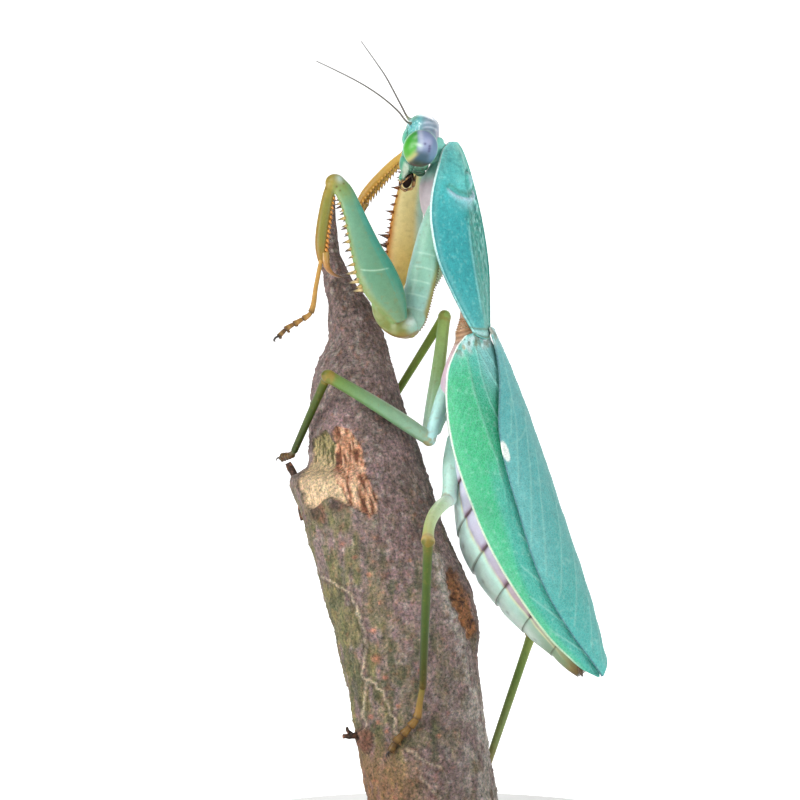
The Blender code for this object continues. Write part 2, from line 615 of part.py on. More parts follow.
build_stand()
PERCH = build_perch()
SHIELD_PIECE = build_shield()
CHEST = build_prothorax(SHIELD_PIECE)
build_trunk()
THORAX = clear_of(bpy.data.objects["thorax"], SHIELD_PIECE, CHEST)
BODY = [SHIELD_PIECE, CHEST, THORAX, *(bpy.data.objects[f"abdomen_{k}"] for k in (1, 2))]
HEAD_PIECE = build_head()
build_neck(HEAD_PIECE, SHIELD_PIECE, CHEST, bpy.data.objects["eye_left"], bpy.data.objects["eye_right"])
build_feelers(HEAD_PIECE)
for leg in LEGS:
    build_leg(leg, BODY, PERCH)
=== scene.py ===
import math

import bmesh
import bpy
import numpy as np
from mathutils import Matrix, Vector


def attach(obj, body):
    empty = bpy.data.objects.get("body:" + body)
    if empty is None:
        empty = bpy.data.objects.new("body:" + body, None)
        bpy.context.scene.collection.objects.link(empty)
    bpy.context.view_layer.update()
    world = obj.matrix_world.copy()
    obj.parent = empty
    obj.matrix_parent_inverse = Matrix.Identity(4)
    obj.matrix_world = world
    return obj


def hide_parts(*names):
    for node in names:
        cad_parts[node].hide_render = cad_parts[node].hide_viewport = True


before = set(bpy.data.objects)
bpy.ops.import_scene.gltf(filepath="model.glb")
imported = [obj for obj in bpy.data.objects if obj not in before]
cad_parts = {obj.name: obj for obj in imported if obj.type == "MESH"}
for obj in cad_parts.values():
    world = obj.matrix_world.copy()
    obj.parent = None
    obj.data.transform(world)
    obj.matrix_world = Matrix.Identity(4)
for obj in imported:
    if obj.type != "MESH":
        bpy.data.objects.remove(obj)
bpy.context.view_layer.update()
mm = 0.001
lumpSide = 32  # the soft lumps repeat after this many cells
lumps = np.random.default_rng(11).random((lumpSide,) * 3)


def tone(code):  # an sRGB hex colour as linear light
    part = np.array([int(code[k:k + 2], 16) / 255 for k in (0, 2, 4)])
    return np.where(part <= 0.04045, part / 12.92, ((part + 0.055) / 1.055) ** 2.4)


def flow(at, stations, values):  # a smooth curve through a few values, level past its ends
    stations, values = np.asarray(stations, float), np.asarray(values, float)
    at = np.clip(np.asarray(at, float), stations[0], stations[-1])
    k = np.arange(len(stations))
    low, high = np.maximum(k - 1, 0), np.minimum(k + 1, len(stations) - 1)
    slope = (values[high] - values[low]) / (stations[high] - stations[low])
    i = np.clip(np.searchsorted(stations, at, side="right") - 1, 0, len(stations) - 2)
    span, climb = stations[i + 1] - stations[i], values[i + 1] - values[i]
    t = (at - stations[i]) / span
    return (values[i] + climb * t * t * (3 - 2 * t)
            + slope[i] * span * t * (1 - t) ** 2 - slope[i + 1] * span * t * t * (1 - t))


def along(at, stops):  # a run of colours, given as text: where and hex, where and hex
    marks = [stop.split() for stop in stops.split(",")]
    places, colours = [float(where) for where, _ in marks], np.array([tone(code) for _, code in marks])
    return np.stack([np.interp(at, places, colours[:, k]) for k in range(3)], axis=-1)


def toward(base, colour, share):
    share = np.clip(share, 0, 1)[..., None]
    return base * (1 - share) + colour * share


def layered(tint, coats):  # colours laid one over another, each with its share
    for colour, share in coats:
        tint = toward(tint, tone(colour) if isinstance(colour, str) else colour, share)
    return tint


def even(code, shape):  # the same colour for every point
    return np.broadcast_to(tone(code), shape).copy()


def bell(x, centre, width):
    return np.exp(-((x - centre) / width) ** 2)


def blot(x, z, centre, reach):  # a soft oval mark
    return bell(np.hypot((x - centre[0]) / reach[0], (z - centre[1]) / reach[1]), 0, 1)


def rise(x, low, high):
    t = np.clip((x - low) / (high - low), 0, 1)
    return t * t * (3 - 2 * t)


def grain(points, size, seed=0):  # soft lumps from 0 to 1, of one size in millimetres, or one for each axis
    p = np.asarray(points, float) / np.asarray(size) + 5.7 * seed + 3.3
    base = np.floor(p).astype(int)
    f = p - base
    f = f * f * (3 - 2 * f)
    total = 0
    for corner in range(8):
        step = np.array([corner & 1, corner >> 1 & 1, corner >> 2 & 1])
        i = (base + step) % lumpSide
        total = total + np.prod(np.where(step, f, 1 - f), axis=-1) * lumps[i[..., 0], i[..., 1], i[..., 2]]
    return total


def insideShape(x, z, corners, soft):  # 1 inside a closed outline, fading to 0 across its edge
    corners = np.array(corners, float)
    away, odd = np.full(x.shape, 1e9), np.zeros(x.shape, bool)
    for a, b in zip(corners, np.roll(corners, -1, axis=0)):
        ab = b - a
        t = np.clip(((x - a[0]) * ab[0] + (z - a[1]) * ab[1]) / (ab @ ab), 0, 1)
        away = np.minimum(away, np.hypot(x - a[0] - ab[0] * t, z - a[1] - ab[1] * t))
        crosses = (a[1] > z) != (b[1] > z)
        odd ^= crosses & (x < a[0] + (z - a[1]) * ab[0] / (ab[1] if ab[1] else 1e-9))
    return rise(np.where(odd, away, -away), -soft, soft)


def polyline(x, z, path):  # distance to a bent line, and how far along it the nearest point is
    path = np.array(path, float)
    away, where, run = np.full(x.shape, 1e9), np.zeros(x.shape), 0.0
    for a, b in zip(path, path[1:]):
        ab = b - a
        size = math.hypot(*ab)
        t = np.clip(((x - a[0]) * ab[0] + (z - a[1]) * ab[1]) / size ** 2, 0, 1)
        d = np.hypot(x - a[0] - ab[0] * t, z - a[1] - ab[1] * t)
        where = np.where(d < away, run + t * size, where)
        away, run = np.minimum(away, d), run + size
    return away, where / run


def loft(rings, caps=True):  # points and faces of a skin over rings with the same number of points
    rings = np.asarray(rings, float)
    n, m = rings.shape[:2]
    points = rings.reshape(-1, 3)
    i, j = np.meshgrid(np.arange(n - 1), np.arange(m), indexing="ij")
    a, b = i * m + j, i * m + (j + 1) % m
    faces = np.stack([a, b, b + m, a + m], axis=-1).reshape(-1, 4).tolist()
    if caps:
        points = np.vstack([points, rings[0].mean(0), rings[-1].mean(0)])
        for j in range(m):
            faces.append([n * m, (j + 1) % m, j])
            faces.append([n * m + 1, (n - 1) * m + j, (n - 1) * m + (j + 1) % m])
    return points, faces


def sized(rings, size):  # rings let out or drawn in about their own middles
    middle = rings.mean(axis=1, keepdims=True)
    return middle + (rings - middle) * np.reshape(size, (len(rings), -1, 1))


def ringTint(tint, sides):  # one colour for each ring, with the end rings' colours on the caps
    return np.vstack([np.repeat(tint, sides, axis=0), tint[0], tint[-1]])


def sheet(n, m):  # faces of a sheet of n by m points, and the points round its border
    i, j = np.meshgrid(np.arange(n - 1), np.arange(m - 1), indexing="ij")
    a = i * m + j
    face = np.stack([a, a + 1, a + m + 1, a + m], axis=-1).reshape(-1, 4)
    border = [*range(m), *range(2 * m - 1, n * m, m), *range(n * m - 2, (n - 1) * m - 1, -1),
              *range((n - 2) * m, 0, -m)]
    return face, list(zip(border, border[1:] + border[:1]))


def gathered(shells):  # several shells as one list of points and faces
    points, faces, count = [], [], 0
    for shellPoints, shellFaces in shells:
        points.append(shellPoints)
        faces += [[v + count for v in face] for face in shellFaces]
        count += len(shellPoints)
    return np.vstack(points), faces


def newPiece(name, points, faces, material, tint=None, turnOut=True):
    mesh = bpy.data.meshes.new(name)
    mesh.from_pydata((np.asarray(points) * mm).tolist(), [], faces)
    if turnOut:
        work = bmesh.new()
        work.from_mesh(mesh)
        bmesh.ops.recalc_face_normals(work, faces=work.faces)
        work.to_mesh(mesh)
        work.free()
    mesh.shade_smooth()
    mesh.materials.append(material)
    piece = bpy.data.objects.new(name, mesh)
    bpy.context.scene.collection.objects.link(piece)
    if tint is not None:
        paint(piece, tint)
    return piece


def paint(piece, tint):
    layer = piece.data.color_attributes.new(name="tint", type="FLOAT_COLOR", domain="POINT")
    full = np.ones((len(piece.data.vertices), 4))
    full[:, :3] = np.clip(tint, 0, 1)
    layer.data.foreach_set("color", full.ravel())


def cornersOf(piece):
    out = np.zeros(len(piece.data.vertices) * 3)
    piece.data.vertices.foreach_get("co", out)
    return out.reshape(-1, 3) / mm


def facing(piece):  # the way that the skin faces at each corner
    out = np.zeros(len(piece.data.vertices) * 3)
    piece.data.vertices.foreach_get("normal", out)
    return out.reshape(-1, 3)


def settled(piece):  # the piece with its modifiers turned into plain mesh
    bpy.context.view_layer.update()
    graph = bpy.context.evaluated_depsgraph_get()
    mesh = bpy.data.meshes.new_from_object(piece.evaluated_get(graph))
    piece.modifiers.clear()
    old = piece.data
    piece.data = mesh
    bpy.data.meshes.remove(old)
    mesh.name = piece.name
    mesh.shade_smooth()
    return piece


def merged(name, shells, material, voxel, relax):  # one closed skin over several overlapping shells
    piece = newPiece(name, *gathered(shells), material)
    skin = piece.modifiers.new("OneSkin", "REMESH")
    skin.mode, skin.voxel_size, skin.use_smooth_shade = "VOXEL", voxel * mm, True
    ease = piece.modifiers.new("Ease", "SMOOTH")
    ease.factor, ease.iterations = 0.5, relax
    piece = settled(piece)
    piece.data.materials.clear()
    piece.data.materials.append(material)
    return piece


def keep(piece, slot, *nodes):
    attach(piece, "root")
    if nodes:
        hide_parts(*nodes)
    return piece


def addNode(tree, kind, settings=None, links=None):  # adds a node, sets its values and links its inputs
    node = tree.nodes.new(kind)
    for key, value in (settings or {}).items():
        if isinstance(key, str) and hasattr(node, key):
            setattr(node, key, value)
        else:
            node.inputs[key].default_value = value
    for key, source in (links or {}).items():
        tree.links.new(source, node.inputs[key])
    return node


def newMaterial(name, constants):
    made = bpy.data.materials.new(name)
    made.use_nodes = True
    tree = made.node_tree
    shader = tree.nodes["Principled BSDF"]
    for key, value in constants.items():
        shader.inputs[key].default_value = value
    return made, tree, shader


def noise(tree, place, scale, detail=2.0, roughness=0.5):
    return addNode(tree, "ShaderNodeTexNoise", {"Scale": scale, "Detail": detail, "Roughness": roughness},
                   {"Vector": place})


def mapped(tree, source, onto, span=(0.0, 1.0), clamp=True):  # one span of values mapped onto another
    settings = {"From Min": span[0], "From Max": span[1], "To Min": onto[0], "To Max": onto[1], "clamp": clamp}
    return addNode(tree, "ShaderNodeMapRange", settings, {0: source}).outputs[0]


def paintOf(tree):  # the colour that the mesh itself carries
    return addNode(tree, "ShaderNodeAttribute", {"attribute_name": "tint"}).outputs["Color"]


def shaded(tree, tint, first, second):  # the tint, lighter or darker by two shares
    both = addNode(tree, "ShaderNodeMath", {"operation": "MULTIPLY"}, {0: first, 1: second})
    return addNode(tree, "ShaderNodeVectorMath", {"operation": "SCALE"},
                   {0: tint, "Scale": both.outputs[0]}).outputs[0]


def finishLook(tree, shader, height, strength, distance, wires):  # relief, and what else drives the shader
    relief = addNode(tree, "ShaderNodeBump", {"Strength": strength, "Distance": distance}, {"Height": height})
    tree.links.new(relief.outputs[0], shader.inputs["Normal"])
    for socket, source in wires.items():
        tree.links.new(source, shader.inputs[socket])


def cuticle(name, settings):
    # insect cuticle: waxy, half glossy, with a fine grain and faint clouds of colour under it
    made, tree, shader = newMaterial(name, {"IOR": 1.5, "Specular IOR Level": settings["shine"],
            "Coat Weight": settings["coat"], "Coat Roughness": 0.25,
                                            "Subsurface Weight": settings["glow"], "Subsurface Scale": 0.0006})
    place = addNode(tree, "ShaderNodeTexCoord").outputs["Object"]
    tint = paintOf(tree)
    clouds = noise(tree, place, 1000 / settings["cloudMm"], 3.0).outputs["Fac"]
    fine = noise(tree, place, 1000 / settings["grainMm"]).outputs["Fac"]
    cloudShare, fineShare = (mapped(tree, source, (1 - settings[key], 1 + settings[key]), (0.3, 0.7))
                             for source, key in ((clouds, "mottle"), (fine, "speck")))
    shade = shaded(tree, tint, cloudShare, fineShare)
    gloss = mapped(tree, clouds, (settings["rough"] - 0.07, settings["rough"] + 0.1))
    finishLook(tree, shader, fine, settings["relief"], 0.00006, {"Base Color": shade, "Roughness": gloss})
    return made


skins = {  # what each cuticle looks like: sizes in millimetres
    "bodyCuticle": {"rough": 0.42, "shine": 0.4, "coat": 0.15, "glow": 0.12, "cloudMm": 1.2, "grainMm": 0.25,
                    "mottle": 0.06, "speck": 0.04, "relief": 0.25},
    "legCuticle": {"rough": 0.38, "shine": 0.22, "coat": 0.15, "glow": 0.12, "cloudMm": 1.0, "grainMm": 0.22,
                   "mottle": 0.07, "speck": 0.05, "relief": 0.3},
    "headCuticle": {"rough": 0.35, "shine": 0.4, "coat": 0.25, "glow": 0.1, "cloudMm": 0.8, "grainMm": 0.2,
                    "mottle": 0.06, "speck": 0.05, "relief": 0.3},
    "shieldCuticle": {"rough": 0.5, "shine": 0.4, "coat": 0.08, "glow": 0.05, "cloudMm": 0.9, "grainMm": 0.24,
                      "mottle": 0.1, "speck": 0.17, "relief": 0.6},
    "hornCuticle": {"rough": 0.3, "shine": 0.4, "coat": 0.3, "glow": 0.0, "cloudMm": 0.5, "grainMm": 0.15,
                    "mottle": 0.12, "speck": 0.06, "relief": 0.3},
    "jawHorn": {"rough": 0.4, "shine": 0.08, "coat": 0.02, "glow": 0.0, "cloudMm": 0.5, "grainMm": 0.2,
                "mottle": 0.2, "speck": 0.2, "relief": 0.5},
}
cuticles = {name: cuticle(name, settings) for name, settings in skins.items()}
print("cuticle ready")

studio = {"eye": (-5.5, -420.0, 72.0), "lens": 119.06, "sensor": 36.0, "sky": 0.34,
          "key": ((-300, -350, 400), 260, 1.5), "fill": ((330, -300, 160), 300, 0.55),
          "low": ((-340, -240, 30), 220, 1.15), "back": ((60, 330, 380), 260, 0.5),
          "aim": (0, 0, 70), "paperShade": 0.93, "paperGlow": 0.55, "paperFront": -900, "paperBack": 500,
          "paperBend": 300, "paperTop": 2400, "paperHalf": 3000}


def setUpStudio():
    bpy.context.scene.view_settings.view_transform = "Standard"
    data = bpy.data.cameras.new("camera")
    data.sensor_width, data.lens = studio["sensor"], studio["lens"]
    data.clip_start, data.clip_end = 0.01, 10
    camera = bpy.data.objects.new("camera", data)
    camera.location = Vector(studio["eye"]) * mm
    camera.rotation_euler = (math.radians(90), 0, 0)
    bpy.context.scene.collection.objects.link(camera)
    bpy.context.scene.camera = camera
    aim = Vector(studio["aim"])
    for name in ("key", "fill", "low", "back"):
        at, size, power = studio[name]
        lamp = bpy.data.lights.new(name + "Light", "AREA")
        lamp.shape, lamp.size, lamp.energy = "DISK", size * mm, power
        made = bpy.data.objects.new(name + "Light", lamp)
        made.location = Vector(at) * mm
        made.rotation_euler = (aim - Vector(at)).to_track_quat("-Z", "Y").to_euler()
        bpy.context.scene.collection.objects.link(made)
    world = bpy.data.worlds.new("studioAir")
    world.use_nodes = True
    world.node_tree.nodes["Background"].inputs["Strength"].default_value = studio["sky"]
    world.node_tree.nodes["Background"].inputs["Color"].default_value = (1, 1, 1, 1)
    bpy.context.scene.world = world
    # matt white paper that glows a little, so that the ground stays white without hard shadows
    shade = (studio["paperShade"],) * 3
    paper, _, _ = newMaterial("backdropPaper", {"Base Color": (*shade, 1), "Roughness": 0.9,
                                                "Emission Color": (1, 1, 1, 1),
                                                "Emission Strength": studio["paperGlow"]})
    back, bend, side = studio["paperBack"], studio["paperBend"], studio["paperHalf"]
    profile = [(studio["paperFront"], 0), (back, 0)]
    profile += [(back + bend * math.sin(a), bend - bend * math.cos(a)) for a in np.radians(np.arange(6, 91, 6))]
    profile += [(back + bend, studio["paperTop"])]
    points = [(x, y, z) for y, z in profile for x in (-side, side)]
    faces = [[2 * k, 2 * k + 1, 2 * k + 3, 2 * k + 2] for k in range(len(profile) - 1)]
    newPiece("paperSweep", np.array(points), faces, paper, turnOut=False)


setUpStudio()
print("studio ready")

stance = {"trunk": ((8.5, 0.0, 82.2), 19.3, 0.0), "chest": ((8.0, 0.0, 82.4), 9.2, 5.0), "roll": 35.0,
          "head": ((-2.0, 1.0, 112.7), 17.0, 93.0, -12.0)}


def climbing(at, lean, away):  # x to the animal's right, y forwards, z out of its back
    upright = Matrix(((0, 0, 1, 0), (1, 0, 0, 0), (0, 1, 0, 0), (0, 0, 0, 1)))
    turn = (Matrix.Rotation(-math.radians(lean), 4, "Y") @ Matrix.Rotation(-math.radians(away), 4, "X")
            @ Matrix.Rotation(-math.radians(stance["roll"]), 4, "Z") @ upright)
    return np.array(Matrix.Translation(at) @ turn)


def headPlace():
    at, nod, face, tip = stance["head"]
    turn = (Matrix.Rotation(math.radians(nod), 4, "Y") @ Matrix.Rotation(math.radians(face), 4, "Z")
            @ Matrix.Rotation(math.radians(tip), 4, "Y"))
    return np.array(Matrix.Translation(at) @ turn)


def placed(points, place):
    return np.asarray(points) @ place[:3, :3].T + place[:3, 3]


trunkPlace = climbing(*stance["trunk"])
chestPlace = climbing(*stance["chest"])
skullPlace = headPlace()

stand = {"baseRadius": 40.0, "baseHeight": 4.0, "bevel": 0.9, "rodRadius": 2.5, "rodAt": (0.0, -2.0),
         "rodTop": 12.0, "colour": "dcdcda"}


def buildStand():
    # cast acrylic, satin: white with soft, wide highlights
    acrylic, tree, shader = newMaterial("satinAcrylic",
            {"Base Color": (*tone(stand["colour"]), 1), "IOR": 1.49, "Coat Weight": 0.1})
    place = addNode(tree, "ShaderNodeTexCoord").outputs["Object"]
    haze = noise(tree, place, 160.0, 4.0)
    gloss = mapped(tree, haze.outputs["Fac"], (0.36, 0.5))
    fine = noise(tree, place, 2500.0)
    finishLook(tree, shader, fine.outputs["Fac"], 0.08, 0.00005, {"Roughness": gloss})
    turns = np.radians(np.arange(0, 360, 2.5))

    def turned(name, profile, at, node, sides):
        rings = [np.stack([at[0] + r * np.cos(sides), at[1] + r * np.sin(sides), np.full(sides.shape, z)],
                          axis=-1) for r, z in profile]
        keep(newPiece(name, *loft(rings), acrylic), "stand", node)

    r, h, b = stand["baseRadius"], stand["baseHeight"], stand["bevel"]
    corner = [(r - b + b * math.sin(a), h - b + b * math.cos(a)) for a in np.radians((90, 67, 45, 22, 0))]
    turned("standBase", [(r - 0.4, 0), (r, 0.4), *corner, (r - 3, h), (r * 0.5, h), (5, h)], (0, 0), "stand_base",
           turns)
    k = stand["rodRadius"]
    turned("standRod", [(k + 0.7, h - 0.1), (k + 0.25, h + 0.25), (k, h + 0.7), (k, stand["rodTop"])],
           stand["rodAt"], "stand_rod", turns[::4])


buildStand()
print("stand ready")

branch = {  # height, left edge, right edge, centre of depth, half depth
    "rings": ((105.2, -16.8, -16.0, 10.0, 0.5), (100.9, -17.6, -15.9, 10.0, 1.3), (98.0, -17.9, -15.6, 9.8, 1.8),
              (94.4, -18.2, -14.7, 9.4, 2.4), (90.6, -17.8, -12.5, 9.0, 3.3), (87.4, -17.1, -10.2, 8.6, 4.1),
              (84.6, -17.1, -8.8, 8.2, 4.7), (81.7, -17.1, -7.9, 7.8, 5.3), (78.5, -18.6, -7.0, 7.3, 6.3),
              (73.6, -19.8, -5.5, 6.6, 7.5), (68.8, -20.1, -4.2, 5.8, 8.5), (64.0, -20.1, -2.4, 5.0, 9.4),
              (61.4, -20.3, -1.6, 4.7, 10.0), (59.4, -23.0, -0.9, 4.4, 10.8), (54.4, -21.5, 0.6, 3.8, 11.1),
              (49.6, -20.1, 2.3, 3.1, 11.1), (44.9, -18.6, 4.6, 2.5, 11.2), (40.1, -17.5, 6.3, 2.0, 11.4),
              (35.4, -16.0, 7.1, 1.4, 11.2), (30.6, -15.0, 6.8, 1.0, 10.9), (25.9, -13.8, 7.4, 0.4, 10.5),
              (20.0, -12.7, 8.0, -0.5, 10.3), (8.2, -10.5, 10.1, -2.0, 10.2)),
    "bareWood": ((-19.5, 65.6), (-19.6, 61.8), (-21.6, 59.5), (-21.2, 57.8), (-20.0, 54.6), (-18.3, 55.5),
                 (-17.6, 56.2), (-16.3, 56.8), (-15.2, 56.3), (-13.9, 55.9), (-14.2, 57.0), (-15.1, 59.0),
                 (-16.0, 61.0), (-15.8, 65.0), (-17.0, 67.2)),
    "tornBark": ((-15.9, 68.0), (-13.6, 67.6), (-12.1, 65.4), (-11.2, 63.0), (-11.0, 60.6), (-9.8, 58.7),
                 (-9.1, 56.4), (-9.1, 54.6), (-10.1, 53.8), (-11.6, 54.8), (-13.9, 55.7), (-14.2, 57.0),
                 (-15.1, 59.0), (-16.0, 61.0), (-15.9, 65.0)),
    "spans": ((8.2, 30, 90), (30.2, 70, 190), (70.25, 105.2, 130)), "sides": 180,  # rings: from, to, count
    "flake": (-10.7, 18.8, 1.2, 2.2),
    "scar": ((2.0, 46.2), (3.4, 44.6), (4.8, 42.0), (6.1, 38.5), (6.9, 35.8), (5.6, 34.6), (4.0, 37.0),
             (2.8, 40.0), (1.6, 43.5)),
    "knots": ((-18.3, 54.2, 1.5, 0.35), (-15.3, 55.6, 1.2, 0.3), (-11.4, 19.0, 1.5, 0.5), (-16.9, 26.5, 0.6, 0.3),
              (2.5, 55.0, 0.6, 0.25)),
    "bumps": ((-10.3, 44.8, 0.4), (-9.6, 36.1, 0.5), (-9.1, 31.8, 0.75), (-10.0, 22.6, 0.4), (-8.9, 21.9, 0.35),
              (-7.5, 20.6, 0.35), (-7.7, 28.9, 0.4), (-6.3, 10.5, 0.35), (-14.5, 49.5, 0.35), (-4.0, 47.0, 0.3),
              (-8.6, 40.5, 0.35), (-2.5, 30.0, 0.35), (-12.5, 47.5, 0.3), (-5.8, 24.5, 0.35), (0.5, 20.0, 0.35),
              (-3.2, 54.0, 0.3), (-13.6, 61.5, 0.3), (-9.0, 72.5, 0.3)),
    "cracks": (((-17.8, 44.0), (-13.4, 41.9), (-11.7, 38.2), (-10.8, 33.7), (-11.4, 29.0)),
               ((-11.2, 28.9), (-9.4, 27.9), (-7.5, 25.4), (-5.7, 19.8)),
               ((-4.4, 18.1), (-0.7, 15.9), (0.9, 15.2)), ((-2.5, 14.0), (0.6, 10.6)),
               ((-10.6, 28.5), (-11.3, 23.5), (-10.4, 18.5))),
    "ridge": ((0.0, 47.5), (1.0, 43.0), (2.6, 38.2), (4.2, 31.8), (6.0, 24.5), (7.2, 17.7)),
    "tones": {"bark": "7b6b67", "dark": "46372f", "pale": "a8a39a", "algae": "6c6a48", "rust": "8f6048",
              "mauve": "826e6c", "yellow": "8f8452", "deepGreen": "4a5138", "line": "b5a690", "bump": "a2705a",
              "cream": "d8bd98", "torn": "a67659", "tornPale": "c9a386", "tornDark": "5f3a2a", "scar": "94643c",
              "scarDark": "43291c"},
}


def branchRings():
    table = np.array(branch["rings"])[::-1]
    height = np.concatenate([np.linspace(*span) for span in branch["spans"]])
    turn = np.linspace(0, 2 * np.pi, branch["sides"], endpoint=False)
    left, right, back, deep = (flow(height, table[:, 0], table[:, k]) for k in (1, 2, 3, 4))
    h, a = np.meshgrid(height, turn, indexing="ij")
    swell = 0.03 * np.sin(3 * a + h / 9) + 0.02 * np.sin(5 * a - h / 6)
    swell = swell * np.clip((105 - h) / 30, 0, 1) * abs(np.sin(a)) + 1
    x = ((left + right) / 2)[:, None] + ((right - left) / 2)[:, None] * np.cos(a)
    y = back[:, None] + deep[:, None] * swell * np.sin(a)
    return np.stack([x, y, h], axis=-1), a


def barkMaterial():
    # dead wood under thin bark: dry and matt, rough to the touch, peppered with rust, grey and green grains
    made, tree, shader = newMaterial("dryBark", {"IOR": 1.45, "Specular IOR Level": 0.3})
    place = addNode(tree, "ShaderNodeTexCoord").outputs["Object"]
    stretch = addNode(tree, "ShaderNodeMapping", {"Scale": (1.0, 1.0, 0.4)}, {"Vector": place}).outputs[0]
    tint = paintOf(tree)
    grit = noise(tree, place, 2300.0, 5.0, 0.75).outputs
    streak = noise(tree, stretch, 1100.0, 5.0, 0.65).outputs["Fac"]
    gritShare = mapped(tree, grit["Fac"], (0.42, 1.6), (0.34, 0.66), clamp=False)
    streakShare = mapped(tree, streak, (0.68, 1.32), (0.35, 0.65))
    shade = shaded(tree, tint, gritShare, streakShare)
    # three noises at once shift each grain towards rust, grey-green or mauve
    hue = addNode(tree, "ShaderNodeVectorMath", {"operation": "MULTIPLY_ADD", 1: (1.1, 0.7, 0.9),
            2: (0.45, 0.65, 0.55)}, {0: grit["Color"]})
    grains = addNode(tree, "ShaderNodeVectorMath", {"operation": "MULTIPLY"}, {0: shade, 1: hue.outputs[0]})
    gloss = mapped(tree, streak, (0.72, 0.95))
    height = addNode(tree, "ShaderNodeMath", {"operation": "ADD"}, {0: grit["Fac"], 1: streak})
    finishLook(tree, shader, height.outputs[0], 0.85, 0.0003,
               {"Base Color": grains.outputs[0], "Roughness": gloss})
    return made


